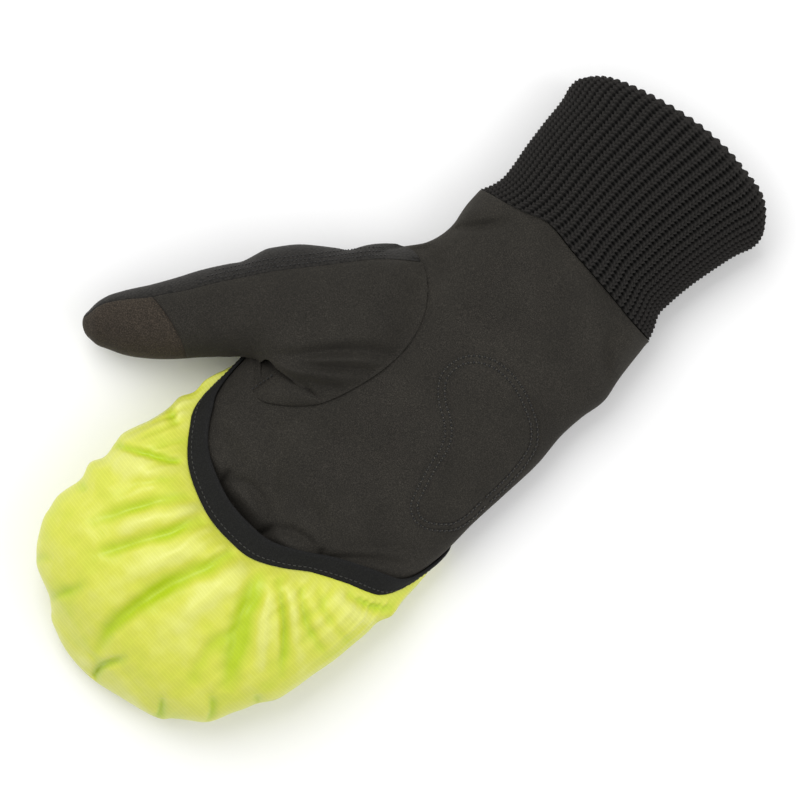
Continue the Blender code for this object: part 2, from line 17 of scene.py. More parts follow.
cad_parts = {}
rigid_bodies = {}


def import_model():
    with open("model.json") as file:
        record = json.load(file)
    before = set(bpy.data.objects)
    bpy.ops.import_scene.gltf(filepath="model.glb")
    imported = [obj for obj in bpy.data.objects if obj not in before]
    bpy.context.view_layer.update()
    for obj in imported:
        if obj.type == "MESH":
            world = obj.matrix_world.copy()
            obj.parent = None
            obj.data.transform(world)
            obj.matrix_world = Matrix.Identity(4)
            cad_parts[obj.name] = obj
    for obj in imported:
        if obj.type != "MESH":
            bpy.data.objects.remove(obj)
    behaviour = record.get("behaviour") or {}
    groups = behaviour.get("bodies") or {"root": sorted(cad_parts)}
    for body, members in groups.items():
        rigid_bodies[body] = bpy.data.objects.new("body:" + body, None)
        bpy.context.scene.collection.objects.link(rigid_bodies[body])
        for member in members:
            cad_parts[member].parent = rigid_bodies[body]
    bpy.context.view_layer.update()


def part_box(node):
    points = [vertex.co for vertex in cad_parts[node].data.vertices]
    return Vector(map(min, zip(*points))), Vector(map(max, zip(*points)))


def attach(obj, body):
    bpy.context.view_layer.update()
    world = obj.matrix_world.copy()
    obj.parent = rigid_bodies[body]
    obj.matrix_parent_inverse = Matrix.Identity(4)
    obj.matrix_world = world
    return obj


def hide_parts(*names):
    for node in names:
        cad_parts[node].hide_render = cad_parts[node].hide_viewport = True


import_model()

bl_info = {
    "name": "Cycling mitten",
    "version": (1, 0, 0),
    "blender": (4, 2, 0),
    "location": "View3D > Sidebar > Mitten",
    "description": "Builds the fabrics, seams and stitches of a cycling mitten round its packed part",
    "category": "Add Mesh",
}

MM = 0.001
GAP = 0.3  # mm between pieces that are sewn or laid together

# The section of every soft tube: 2 would be an ellipse, and more is squarer
ROUND = 2.3
WIDEST_SHARE = 0.42  # height of the widest point, as a share of the tube's height
FLATTEN_FACTOR = 1.5  # how much of the underside the table flattens

# How far the open end and the sewn end of the cuff reach, by the cosine of the angle round it
CUFF_ENDS = {
    "cosine": (-1.00, -0.86, -0.45, 0.00, 0.47, 0.62, 0.78, 0.92, 1.00),
    "open": (0.030, -0.050, -0.100, -0.082, 0.000, 0.035, 0.080, 0.135, 0.190),
    "sewn": (0.890, 0.900, 0.900, 0.900, 0.912, 0.960, 0.996, 1.020, 1.035),
}
# along: share of the cuff's length; left, right: of its width; top: of its height
CUFF_SECTIONS = {
    "along": (0.00, 0.03, 0.09, 0.19, 0.38, 0.60, 0.74, 0.84, 0.93, 1.00),
    "left": (-0.496, -0.505, -0.507, -0.488, -0.468, -0.454, -0.453, -0.458, -0.490, -0.510),
    "right": (0.482, 0.494, 0.496, 0.476, 0.454, 0.426, 0.404, 0.394, 0.402, 0.418),
    "top": (0.91, 0.93, 0.95, 0.97, 0.97, 0.95, 0.95, 0.96, 0.98, 1.00),
}
# along: share of the hand's length from the wrist; left, right: of its width; top: of its height
HAND_SECTIONS = {
    "along": (0.00, 0.105, 0.165, 0.23, 0.29, 0.38, 0.49, 0.59, 0.69, 0.79, 0.89, 0.96, 1.00),
    "left": (-0.445, -0.475, -0.498, -0.490, -0.490, -0.510, -0.515, -0.517, -0.527, -0.520,
             -0.500, -0.480, -0.450),
    "right": (0.368, 0.353, 0.332, 0.347, 0.400, 0.446, 0.480, 0.488, 0.472, 0.457,
              0.457, 0.455, 0.435),
    "top": (1.04, 1.03, 1.02, 0.99, 0.98, 0.98, 0.99, 1.00, 1.00, 0.99, 0.97, 0.94, 0.84),
}
WRIST_SHARE = 0.909  # the wrist's seam, as a share of the cuff's length
LIFT_FROM_SHARE = 0.50  # shares of the hand's length where it starts to rise onto the cover
LIFT_TO_SHARE = 0.57
LAP_END_SHARE = 0.95  # past this share the mouth of the cover keeps the hand's width
TUCK_SHARE = 0.055  # share of the hand's length over which the palm drops to the fingers' roots
TUCK_DROP = 4.0  # mm, the most that it drops there
ROLL_DROP = 0.9  # mm that the palm's edge rolls down by the wrist's seam
SIDE_ALLOWANCE = 0.032  # radians by which the palm laps past the side seams, and the back stops short
SEAM_ALLOWANCE = 4.0  # mm of the palm and the back left inside the thumb's base

# name: middle as a share of the palm's width; width, length and sideways lean in mm
FINGERS = {
    "index": (0.325, 22.0, 56.0, 3.0),
    "middle": (0.098, 21.5, 66.0, 1.5),
    "ring": (-0.128, 20.5, 60.0, 0.0),
    "little": (-0.347, 19.5, 42.0, -1.0),
}
FINGER_HEIGHT = 24.0
FINGER_SECTIONS = {
    "along": (0.00, 0.40, 0.75, 0.90, 0.97, 1.00),
    "size": (1.00, 0.98, 0.94, 0.80, 0.58, 0.32),
}

# The thumb in its own frame. along: share of its length from the root; left, its outer side, and
# right, its inner one: of its width; bottom, top: of its height
THUMB_SECTIONS = {
    "along": (-0.285, -0.250, -0.200, -0.145, -0.104, -0.050, -0.0225, 0.013, 0.060, 0.123, 0.200,
              0.270, 0.325, 0.355, 0.385, 0.404, 0.460, 0.556, 0.664, 0.746, 0.853, 0.910,
              0.949, 0.980),
    "left": (-0.340, -0.470, -0.525, -0.529, -0.528, -0.516, -0.503, -0.484, -0.496, -0.510, -0.520,
              -0.507, -0.486, -0.458, -0.430, -0.414, -0.396, -0.360, -0.303, -0.264, -0.222, -0.189,
              -0.146, -0.091),
    "right": (0.00, 0.08, 0.20, 0.32, 0.42, 0.48, 0.51, 0.55, 0.58, 0.61, 0.60,
              0.50, 0.285, 0.226, 0.212, 0.205, 0.204, 0.206, 0.218, 0.216, 0.188, 0.152,
              0.125, 0.078),
    "bottom": (0.30, 0.22, 0.11, 0.075, 0.07, 0.07, 0.07, 0.07, 0.07, 0.07, 0.08,
               0.10, 0.13, 0.15, 0.15, 0.14, 0.11, 0.08, 0.07, 0.07, 0.085, 0.11,
               0.15, 0.215),
    "top": (0.62, 0.78, 0.90, 0.95, 0.97, 0.99, 1.00, 1.00, 1.00, 1.00, 0.99,
            0.96, 0.92, 0.89, 0.86, 0.85, 0.81, 0.77, 0.73, 0.70, 0.65, 0.60,
            0.55, 0.47),
}
THUMB_ROOT_SHARES = (0.297, 0.4934)  # of the palm's width and of the hand's length past the wrist
# The seam between the thumb's front and its back, across as a share of the thumb's width
THUMB_SEAM = {
    "along": (-0.300, -0.245, -0.163, -0.093, -0.010, 0.078, 0.183, 0.290, 0.400, 0.493, 0.620,
              0.696, 0.746, 0.835, 0.892, 0.936, 0.980),
    "outer": (-0.400, -0.404, -0.412, -0.414, -0.402, -0.380, -0.357, -0.334, -0.298, -0.268, -0.213,
              -0.191, -0.174, -0.161, -0.145, -0.119, -0.060),
}
# The front's other edge past the base seam: the deep fold, the crotch and the inner side
THUMB_INNER = {
    "along": (0.125, 0.143, 0.200, 0.250, 0.278, 0.303, 0.340, 0.386),
    "inner": (0.505, 0.475, 0.385, 0.318, 0.280, 0.232, 0.222, 0.212),
}
BALL_BLEND = 15.0  # mm over which the ball of the thumb swells out of the palm
LIP_WIDTH = 3.2  # mm over which the thumb's front rolls down to the deep fold
LIP_DROP = 2.4  # mm that it rolls down
THUMB_SEAM_UP = 0.26  # height of the seam on the inner side, as a share of the thumb's height
THUMB_TIP = (98.2, -1.0, 13.0)  # along, across and up, in mm
PATCH_SHARES = (0.612, 0.735)  # the patch's seam on the inner and the outer edge

# The seam round the base of the thumb, across and along the hand, in mm
BASE_SEAM = (
    (40.4, 103.0), (37.8, 101.6), (34.6, 101.1), (30.6, 101.7), (26.1, 103.6), (21.4, 107.2),
    (16.6, 112.8), (13.0, 120.3), (11.1, 128.0), (10.8, 137.0), (12.0, 146.5), (14.2, 156.0),
    (17.0, 163.2), (20.8, 168.4), (26.1, 173.8), (31.5, 177.6), (36.4, 178.3),
)
FOLD_LINE = ((17.6, 161.8), (23.5, 162.6), (29.0, 163.9), (35.4, 166.2))  # the thumb's deep fold
GUSSET_SEAM = ((36.6, 177.8), (35.9, 172.0), (35.3, 166.6))
CROTCH = ((35.3, 166.6), (37.8, 165.3), (40.4, 165.8))
PALM_RIM = ((36.4, 178.3), (40.3, 175.2), (44.6, 171.6), (49.5, 167.5))  # the palm's edge by it

# Folds in the palm: a path across and along the hand, depth (a valley is negative) and half width, mm
PALM_FOLDS = (
    ("ulnar crease at the wrist", ((-31, 64), (-37, 73), (-45, 80)), -2.0, 2.0),
    ("ulnar ridge at the wrist", ((-38, 60), (-41.5, 70), (-43, 77)), 1.3, 3.0),
    ("thumb-side crease at the wrist", ((34, 87), (26.6, 78), (21, 68)), -2.4, 1.7),
    ("thumb-side bulge at the wrist", ((37, 82), (31.5, 75), (27, 65)), 1.3, 3.0),
    ("shade under the thumb", ((41, 99), (35, 98.3), (29.5, 98.3), (21, 101)), -3.0, 3.6),
    ("soft crease of the palm", ((24, 176), (8, 169), (-6, 165), (-20, 163)), -1.5, 5.5),
    ("long hollow of the palm", ((4, 190), (0, 150), (2, 110), (4, 80)), -1.1, 16.0),
    ("soft ridge to the middle finger", ((40, 189), (24, 191.5), (12, 194)), 1.3, 4.5),
    ("soft valley to the middle finger", ((20, 175), (12, 188), (5, 197), (-3, 206)), -2.2, 4.5),
    ("arc under the middle finger", ((19, 206), (10.3, 200.6), (2, 202), (-4, 209)), -1.9, 1.9),
    ("swell over that arc", ((16, 209), (8, 206), (1, 210)), 1.0, 2.6),
    ("crease under the ring finger", ((-4, 209), (-9, 201.5), (-17, 198), (-26, 200)), -2.3, 1.8),
    ("swell over that crease", ((-8, 208), (-15, 204), (-22, 204)), 1.0, 2.6),
    ("shade over the ring finger", ((-24, 198), (-14, 190), (-2, 190)), -1.5, 3.4),
    ("crease under the little finger", ((-25, 199), (-33, 190), (-41, 182), (-47, 177)), -2.2, 1.7),
    ("shade over the little finger", ((-26, 193), (-36, 181), (-45, 171)), -1.2, 3.2),
    ("tuck by the index finger", ((18.6, 210), (19.4, 205), (19.6, 201.5)), -2.6, 1.3),
    ("tuck by the middle finger", ((-3.4, 212), (-4.8, 207), (-4.6, 203)), -2.6, 1.3),
    ("tuck by the ring finger", ((-25.5, 204), (-25, 199), (-22.5, 195.5)), -2.6, 1.3),
)
THUMB_FOLDS = (
    ("valley from the crotch", ((41, 164), (36.6, 159.6), (28, 147), (19.4, 137), (11, 131)), -3.4, 2.3),
    ("ridge beside it", ((31, 156), (22, 145.5), (13, 137)), 1.0, 1.7),
    ("middle valley", ((38, 165), (33, 160.5), (20.5, 147.5), (11, 139)), -2.5, 1.7),
    ("ridge by the deep fold", ((34, 163.5), (25, 156), (14, 147)), 1.3, 2.0),
    ("valley by the deep fold", ((29, 162.5), (21.5, 158), (13, 151)), -1.7, 1.5),
    ("ridge of the thumb", ((88, 200), (66, 170), (50, 146), (36, 128)), 0.7, 9.0),
    ("hollow by the patch", ((60, 186), (52, 174)), -0.8, 3.5),
    ("dip on the outer side", ((49, 117), (42, 121)), -1.0, 3.0),
)
# The stitched outline of the pad, across and along the hand, in mm
PAD_OUTLINE = (
    (-49.0, 141.8), (-49.3, 150.0), (-48.0, 155.8), (-44.7, 159.9), (-41.4, 162.5), (-36.8, 163.4),
    (-33.0, 161.5), (-30.3, 156.2), (-28.2, 151.1), (-26.3, 145.5), (-24.8, 140.1), (-21.9, 135.5),
    (-17.7, 132.3), (-12.2, 129.6), (-8.2, 126.6), (-5.4, 122.8), (-4.8, 118.5), (-5.8, 113.7),
    (-8.9, 109.6), (-13.4, 106.8), (-18.5, 105.5), (-24.5, 105.4), (-30.4, 106.6), (-35.8, 108.4),
    (-40.9, 111.0), (-44.9, 115.0), (-47.3, 121.9), (-48.7, 131.5),
)
PAD_RISE = 0.7
PAD_ROWS = (1.1, -1.2)  # its rows of stitches, outside and inside the outline, in mm
PAD_TROUGH = 0.6  # depth of the trough along each of them
THUMB_ROWS = (1.5, 3.1, 4.7)  # the rows on the thumb's back, from its seam, in mm
FINE_PITCH = 1.5  # mm, of the stitches of the gusset and the thumb

# The mouth of the cover by the angle round the hand in degrees: 90 is the middle of the palm.
# reach: the binding's outer edge, as a share of the hand's length; narrow: of its full width
MOUTH = {
    "angle": (0, 4, 8, 14, 20, 28, 35, 48, 62, 75, 87, 98, 110, 120, 137, 150, 160, 170, 180, 210,
              240, 270, 300, 320, 340, 352, 360),
    "reach": (0.775, 0.822, 0.860, 0.896, 0.918, 0.940, 0.964, 1.005, 1.033, 1.049, 1.049, 1.039,
              1.000, 0.957, 0.908, 0.886, 0.868, 0.828, 0.755, 0.675, 0.635, 0.625, 0.635, 0.660,
              0.705, 0.745, 0.775),
    "narrow": (0.95, 1.05, 1.15, 1.18, 1.12, 1.08, 1.04, 1.00, 1.00, 1.00, 1.00, 1.00,
               1.00, 1.00, 1.00, 1.02, 1.00, 0.90, 0.75, 0.62, 0.60, 0.60, 0.60, 0.62,
               0.70, 0.85, 0.95),
}
# along: share of the cover's length from its lowest row; left, right: of its width; top: of its height
COVER_SECTIONS = {
    "along": (0.000, 0.100, 0.141, 0.169, 0.197, 0.268, 0.310, 0.345, 0.379, 0.437, 0.486, 0.517, 0.549,
              0.590, 0.625, 0.667, 0.718, 0.742, 0.782, 0.803, 0.840, 0.885, 0.904, 0.931, 0.952,
              0.974, 0.985),
    "left": (-0.476, -0.484, -0.492, -0.506, -0.507, -0.507, -0.517, -0.501, -0.503, -0.502, -0.500,
             -0.496, -0.491, -0.486, -0.481, -0.473, -0.438, -0.428, -0.408, -0.400, -0.380, -0.321,
             -0.298, -0.267, -0.202, -0.123, -0.083),
    "right": (0.430, 0.438, 0.444, 0.448, 0.451, 0.458, 0.447, 0.464, 0.461, 0.472, 0.488, 0.496, 0.489,
              0.480, 0.496, 0.477, 0.482, 0.483, 0.472, 0.466, 0.438, 0.390, 0.362, 0.270, 0.229,
              0.195, 0.157),
    "top": (0.800, 0.830, 0.845, 0.855, 0.865, 0.895, 0.915, 0.930, 0.945, 0.970, 0.980, 0.985, 0.995,
            1.000, 0.995, 0.985, 0.960, 0.950, 0.910, 0.890, 0.835, 0.735, 0.675, 0.585, 0.485,
            0.380, 0.320),
}
COVER_FOOT_SHARE = 0.592  # share of the hand's length at which the cover's lowest row lies
COVER_LOOSEN_SHARE = 0.20  # share of the cover's own length over which it swells from the hand
COVER_TIP = (4.5, 6.0)  # across and up, in mm
# Folds in the cover, as in the palm
COVER_FOLDS = (
    ("edge fold by the index finger", ((56, 228.5), (48, 223), (41, 218.5), (33, 213)), -3.2, 1.4),
    ("swell over that fold", ((54, 234), (45, 228), (34, 220)), 1.6, 3.4),
    ("dent by the thumb", ((53.5, 202), (50, 205), (45, 206)), -2.6, 1.8),
    ("pocket by the thumb", ((51, 197), (49, 201), (46, 203)), 1.0, 2.2),
    ("first valley", ((22, 214.5), (28, 227), (33.7, 238.3), (38, 250)), -2.6, 2.3),
    ("short valley beside it", ((28, 213), (34, 223), (39, 231)), -1.4, 1.6),
    ("first ridge", ((17, 217), (24.5, 233), (32, 249)), 1.3, 2.6),
    ("second valley", ((12.5, 219), (18.3, 233), (24, 246), (29, 257)), -2.8, 2.3),
    ("second ridge", ((5, 220), (11, 238), (17, 256)), 1.7, 3.2),
    ("main valley", ((-5, 218), (0, 231), (3.6, 244), (5.6, 258), (5.8, 271), (2, 283)), -3.8, 3.0),
    ("main ridge", ((-10, 219), (-9, 236), (-8, 256)), 2.2, 4.2),
    ("third valley", ((-14, 217), (-21.7, 230.6), (-29.5, 241.5), (-40, 256)), -3.8, 4.0),
    ("spur of the third valley", ((-24, 236), (-23, 250), (-29, 264)), -1.5, 2.6),
    ("third ridge", ((-19, 216), (-29, 229), (-42, 242)), 2.0, 1.9),
    ("fourth valley", ((-22, 215), (-34.8, 224), (-47, 236)), -2.8, 1.5),
    ("fourth ridge", ((-25, 213), (-37, 221.5), (-50, 230)), 1.5, 1.9),
    ("fifth valley", ((-27, 210), (-38.7, 217), (-53, 220.5)), -2.2, 1.6),
    ("sixth valley", ((-32, 206), (-43, 210.5), (-55, 211)), -1.5, 1.6),
    ("tuck by the little finger", ((-42, 199.5), (-51, 196.5), (-58, 190)), -3.2, 1.5),
    ("fold over that tuck", ((-37, 203), (-48, 202.5), (-57, 199)), 1.6, 2.2),
    ("edge tuck at the tip", ((-5.2, 293), (-2.4, 284), (-5.5, 275)), -3.4, 1.6),
    ("swell beside that tuck", ((3, 291), (3, 284)), 1.0, 2.4),
    ("edge tuck past the tip", ((-31, 285), (-29, 278.5), (-25, 274)), -3.0, 1.5),
    ("edge tuck on the left", ((-44, 271), (-41, 264), (-36, 260)), -2.8, 1.5),
    ("small tuck on the left", ((-51.5, 251), (-46, 248)), -1.8, 1.5),
    ("edge tuck on the right", ((30, 285), (27, 277), (24, 268)), -1.8, 2.0),
    ("edge tuck by the index tip", ((56, 246), (48, 246)), -1.6, 1.8),
    ("edge tuck on the upper right", ((45, 279), (38, 270)), -1.3, 2.0),
)

# Where the camera stands: across the picture and up it, in the row's plane, and what it sees
PICTURE_RIGHT = (-0.6607, -0.7507)
PICTURE_UP = (0.7507, -0.6607)
PICTURE_MIDDLE = (-1.3, 140.2)  # of the hand's frame, in mm
PICTURE_WIDTH = 288.0
LENS = 150.0
SENSOR = 36.0
FOCUS_HEIGHT = 20.0
FLOOR_HALF = 4.0  # m
LAMP_SIZE = 0.9  # m
KEY_WATTS = 8.5
FILL_WATTS = 3.5
ROOM_LIGHT = 0.72  # strength of the white all round

# Rows and columns of each surface's grid. The cover's columns are counted above and below apart
GRIDS = {
    "palm": (210, 170),
    "back": (100, 110),
    "finger": (26, 22),
    "thumb_front": (170, 110),
    "thumb_back": (170, 80),
    "thumb_patch": (60, 80),
    "thumb_fold": (34, 44),
    "gusset": (40, 60),
    "cover": (132, 240, 82),
    "binding": (360, 22),
    "pad": (16, 96),
}


def size_property(name, description, millimetres):
    """A length that the user may change."""
    return bpy.props.FloatProperty(
        name=name, description=description, default=millimetres * MM, unit="LENGTH", precision=5
    )


def colour_property(name, description, value):
    """A colour, kept as an sRGB hex value."""
    return bpy.props.StringProperty(name=name, description=description, default=value)


class MittenSizes(bpy.types.PropertyGroup):
    """The sizes of the mitten's fabrics"""

    cuff_length: size_property("Cuff length", "Open end to the wrist's seam", 66.0)
    cuff_width: size_property("Cuff width", "Across the cuff as it lies", 87.0)
    cuff_height: size_property("Cuff height", "Height of the cuff as it lies", 36.0)
    cuff_wall: size_property("Cuff wall", "Thickness of the knit", 2.6)
    rib_height: size_property("Rib height", "Depth of the valley between two ribs", 1.5)
    row_pitch: size_property("Knit row", "Height of one row of the knit", 1.55)
    rib_count: bpy.props.IntProperty(
        name="Ribs", description="Ribs all round the cuff", default=64, min=8
    )
    hand_length: size_property("Hand length", "Wrist's seam to the roots of the fingers", 152.0)
    palm_width: size_property("Palm width", "Across the palm as it lies", 101.0)
    palm_height: size_property("Palm height", "Height of the palm as it lies", 34.0)
    fabric_wall: size_property("Softshell", "Thickness of the softshell", 1.5)
    thumb_length: size_property("Thumb length", "Root of the thumb to its tip", 98.0)
    thumb_width: size_property("Thumb width", "Across the ball of the thumb", 56.0)
    thumb_height: size_property("Thumb height", "Height of the ball of the thumb", 41.0)
    thumb_angle: bpy.props.FloatProperty(
        name="Thumb angle",
        description="Turn of the thumb from the line across the hand",
        default=math.radians(48.6),
        unit="ROTATION",
    )
    cover_length: size_property("Cover length", "Lowest row of the cover to its tip", 142.0)
    cover_width: size_property("Cover width", "Across the cover as it lies", 112.0)
    cover_height: size_property("Cover height", "Height of the cover as it lies", 44.0)
    cover_wall: size_property("Cover fabric", "Thickness of the cover with its backing", 1.0)
    binding_width: size_property("Binding width", "Width of the elastic binding", 10.0)
    binding_wall: size_property("Binding thickness", "Thickness of the elastic binding", 1.2)
    stitch_length: size_property("Stitch length", "Length of one stitch with its gap", 1.9)
    thread: size_property("Thread", "Thickness of the sewing thread", 0.45)


class MittenColours(bpy.types.PropertyGroup):
    """The colours of the mitten's fabrics, as sRGB hex values"""

    knit: colour_property("Knit", "The cuff's yarn", "#32302e")
    softshell: colour_property("Softshell", "The palm, the back and the thumb's front", "#211f1b")
    softshell_fleck: colour_property("Softshell fleck", "Its lighter fibres", "#4b4740")
    thumb_knit: colour_property("Thumb knit", "The back of the thumb", "#2b2926")
    patch: colour_property("Patch", "The thumb's tip", "#27221c")
    patch_fleck: colour_property("Patch fleck", "Its lighter fibres", "#5e5347")
    foam: colour_property("Foam", "The pad inside the palm", "#4a4845")
    # The cover's fold colour is painted shade and its ridge colour a painted highlight; the plain one is
    # its own colour
    cover_fold_shade: colour_property("Cover folds", "The cover in its folds", "#b4ca1c")
    cover: colour_property("Cover", "The cover where it lies smooth", "#d1d54d")
    cover_ridge_highlight: colour_property("Cover sheen", "The cover on its ridges", "#dbdd72")
    binding: colour_property("Binding", "The elastic binding", "#121212")
    binding_fleck: colour_property("Binding fleck", "Its lighter fibres", "#262625")
    thread: colour_property("Thread", "The stitches of the palm and the thumb", "#4a4740")
    # Painted shade: near-black thread that stands for the shade in the needle holes
    needle_hole_shade: colour_property("Sunk thread", "Where a stitch dips into the palm", "#0d0c0c")
    light_thread: colour_property("Binding thread", "The stitches of the binding", "#3c3c3a")


def sizes():
    """The sizes of the panel in millimetres, with what follows from them."""
    held = bpy.context.scene.mitten_sizes
    s = SimpleNamespace()
    for name, hint in held.__annotations__.items():
        value = getattr(held, name)
        is_length = hint.function is bpy.props.FloatProperty and name != "thumb_angle"
        setattr(s, name, value / MM if is_length else value)
    s.wrist = WRIST_SHARE * s.cuff_length
    s.lift = s.binding_wall + 1.4 * GAP
    across, along = THUMB_ROOT_SHARES
    s.thumb_root = np.array([across * s.palm_width, s.wrist + along * s.hand_length])
    s.thumb_forward = np.array([math.cos(s.thumb_angle), math.sin(s.thumb_angle)])
    s.thumb_sideways = np.array([-s.thumb_forward[1], s.thumb_forward[0]])
    s.foot = s.wrist + COVER_FOOT_SHARE * s.hand_length
    s.tip = s.foot + s.cover_length
    widest = smooth(HAND_SECTIONS, "left", np.linspace(0, 1, 400)).min() * s.palm_width
    s.shift = np.array([
        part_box("palm_panel")[0].x / MM - widest,
        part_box("mitten_cover")[1].y / MM - s.tip,
        0.0,
    ])
    return s


# Curves and fields


def smooth(table, column, where, along="along"):
    """A cubic curve through the rows of a table, each row's slope taken from its neighbours."""
    stations = np.asarray(table[along], float)
    values = np.asarray(table[column], float)
    slopes = np.gradient(values, stations)
    row = np.clip(np.searchsorted(stations, where) - 1, 0, len(stations) - 2)
    span = stations[row + 1] - stations[row]
    part = np.clip((where - stations[row]) / span, 0.0, 1.0)
    rest = 1.0 - part
    return (
        (1 + 2 * part) * rest**2 * values[row]
        + part * rest**2 * span * slopes[row]
        + part**2 * (3 - 2 * part) * values[row + 1]
        - part**2 * rest * span * slopes[row + 1]
    )


def ease(part):
    """0 to 1 with no corner at either end: 3p^2 - 2p^3."""
    part = np.clip(part, 0.0, 1.0)
    return part * part * (3 - 2 * part)


def bell(away, width):
    """1 on a line and less beside it, as a bell curve of that half width."""
    return np.exp(-((away / width) ** 2))


def run_of(path):
    """How far each point of a path lies along it."""
    return np.concatenate([[0], np.cumsum(np.linalg.norm(np.diff(path, axis=0), axis=1))])


def unit(vectors):
    """Vectors brought to a length of 1."""
    return vectors / (np.linalg.norm(vectors, axis=1, keepdims=True) + 1e-9)


def curve_through(points, count, closed=False):
    """Points evenly spaced along a curve through the given ones: the coordinates are cubics of the
    distance run, by the same rule as smooth, and a closed curve runs twice over its ends."""
    points = np.asarray(points, float)
    if closed:
        points = np.vstack([points[-3:], points, points[:3]])
    run = run_of(points)
    first, last = (run[3], run[-3]) if closed else (run[0], run[-1])
    fine = np.linspace(first, last, 8 * count)
    table = {"along": run}
    laid = []
    for axis in range(points.shape[1]):
        table["value"] = points[:, axis]
        laid.append(smooth(table, "value", fine))
    laid = np.stack(laid, axis=-1)
    true = run_of(laid)
    even = np.linspace(0, true[-1], count + 1)[:-1] if closed else np.linspace(0, true[-1], count)
    return np.stack([np.interp(even, true, laid[:, axis]) for axis in range(laid.shape[1])], axis=-1)


def beside(x, y, path):
    """For each point of a plane, its distance from a path and how far along the path, 0 to 1."""
    path = np.asarray(path, float)
    steps = np.linalg.norm(np.diff(path, axis=0), axis=1)
    run = np.concatenate([[0], np.cumsum(steps)])
    nearest = np.full(np.shape(x), np.inf)
    share = np.zeros(np.shape(x))
    for (x0, y0), (x1, y1), length, before in zip(path[:-1], path[1:], steps, run[:-1]):
        ahead = (x - x0) * (x1 - x0) + (y - y0) * (y1 - y0)
        part = np.clip(ahead / max(length, 1e-6) ** 2, 0, 1)
        away = np.hypot(x - x0 - part * (x1 - x0), y - y0 - part * (y1 - y0))
        closer = away < nearest
        nearest = np.where(closer, away, nearest)
        share = np.where(closer, (before + part * length) / run[-1], share)
    return nearest, share


def folded(x, y, folds):
    """The height that a table of folds adds: each is a bell curve across its path, and along it
    swells and dies as the root of a half sine."""
    total = np.zeros(np.shape(x))
    for _, path, depth, width in folds:
        away, share = beside(x, y, curve_through(path, 24))
        total += depth * bell(away, width) * np.sqrt(np.sin(np.pi * np.clip(share, 0.02, 0.98)))
    return total


def waves(x, y, length, seed):
    """A soft field of about -1 to 1: six sines of nearly one wavelength, turned every way."""
    total = np.zeros(np.shape(x))
    for turn in range(6):
        angle = seed + turn * 2.39996
        stretch = 2 * np.pi / (length * (0.8 + 0.09 * turn))
        total += np.sin((x * math.cos(angle) + y * math.sin(angle)) * stretch + 1.7 * turn + seed)
    return total / 3.2


def within(x, y, outline):
    """Which points of a plane lie inside a closed outline, by counting the sides they see."""
    outline = np.asarray(outline, float)
    inside = np.zeros(np.shape(x), bool)
    for (x0, y0), (x1, y1) in zip(outline, np.roll(outline, -1, axis=0)):
        if y0 == y1:
            continue
        level = (y0 > y) != (y1 > y)
        inside ^= level & (x < x0 + (y - y0) * (x1 - x0) / (y1 - y0))
    return inside


def section(left, right, bottom, top, angle, grow=0.0):
    """Across and up on a soft tube that lies on the table: a superellipse with a flat underside."""
    left, right = left - grow, right + grow
    bottom, top = bottom - grow, top + grow
    middle = bottom + WIDEST_SHARE * (top - bottom)
    cosine = np.cos(angle)
    rise = (1 - np.abs(cosine) ** ROUND) ** (1 / ROUND)
    across = (left + right) / 2 + (right - left) / 2 * cosine
    above = middle + (top - middle) * rise
    below = middle - (middle - bottom) * np.minimum(1.0, rise * FLATTEN_FACTOR)
    return across, np.where(np.sin(angle) >= 0, above, below)


def edges(table, along, width, height):
    """Left, right, bottom and top of the section at a place along a table of them."""
    return (
        smooth(table, "left", along) * width,
        smooth(table, "right", along) * width,
        smooth(table, "bottom", along) * height if "bottom" in table else 0.0,
        smooth(table, "top", along) * height,
    )


def dome(left, right, bottom, top, across):
    """Height of the upper side of such a tube over a place across it, or its middle height outside."""
    middle = bottom + WIDEST_SHARE * (top - bottom)
    cosine = np.clip(np.abs((2 * across - left - right) / (right - left)), 0, 1)
    return middle + (top - middle) * (1 - cosine**ROUND) ** (1 / ROUND)


def closing(last, tip, gap, lean):
    """Rows that close a tube from its last row to its tip. gap is the way forward that is left, and
    the rows follow an ellipse from the slope that the tube has there to straight across."""
    rows = []
    for turn in np.linspace(lean, np.pi / 2, 10)[1:]:
        size = math.cos(turn) / math.cos(lean)
        push = (math.sin(turn) - math.sin(lean)) / (1 - math.sin(lean))
        rows.append(tip + (last + gap - tip) * size - gap * (1 - push))
    return np.array(rows)


# Meshes


def parameters(piece):
    """The two parameters of a piece's grid, each from 0 to 1, down its rows and across its columns."""
    rows, columns = GRIDS[piece]
    return np.linspace(0, 1, rows)[:, None], np.linspace(0, 1, columns)[None, :]


def quads(rows, columns, round_rows=False, round_columns=False):
    """The four-sided faces of a grid of points, as numbers of its points row by row."""
    row = np.arange(rows if round_rows else rows - 1)[:, None]
    column = np.arange(columns if round_columns else columns - 1)[None, :]
    low, high = row * columns, (row + 1) % rows * columns
    after = (column + 1) % columns
    return np.stack([low + column, low + after, high + after, high + column], -1).reshape(-1, 4)


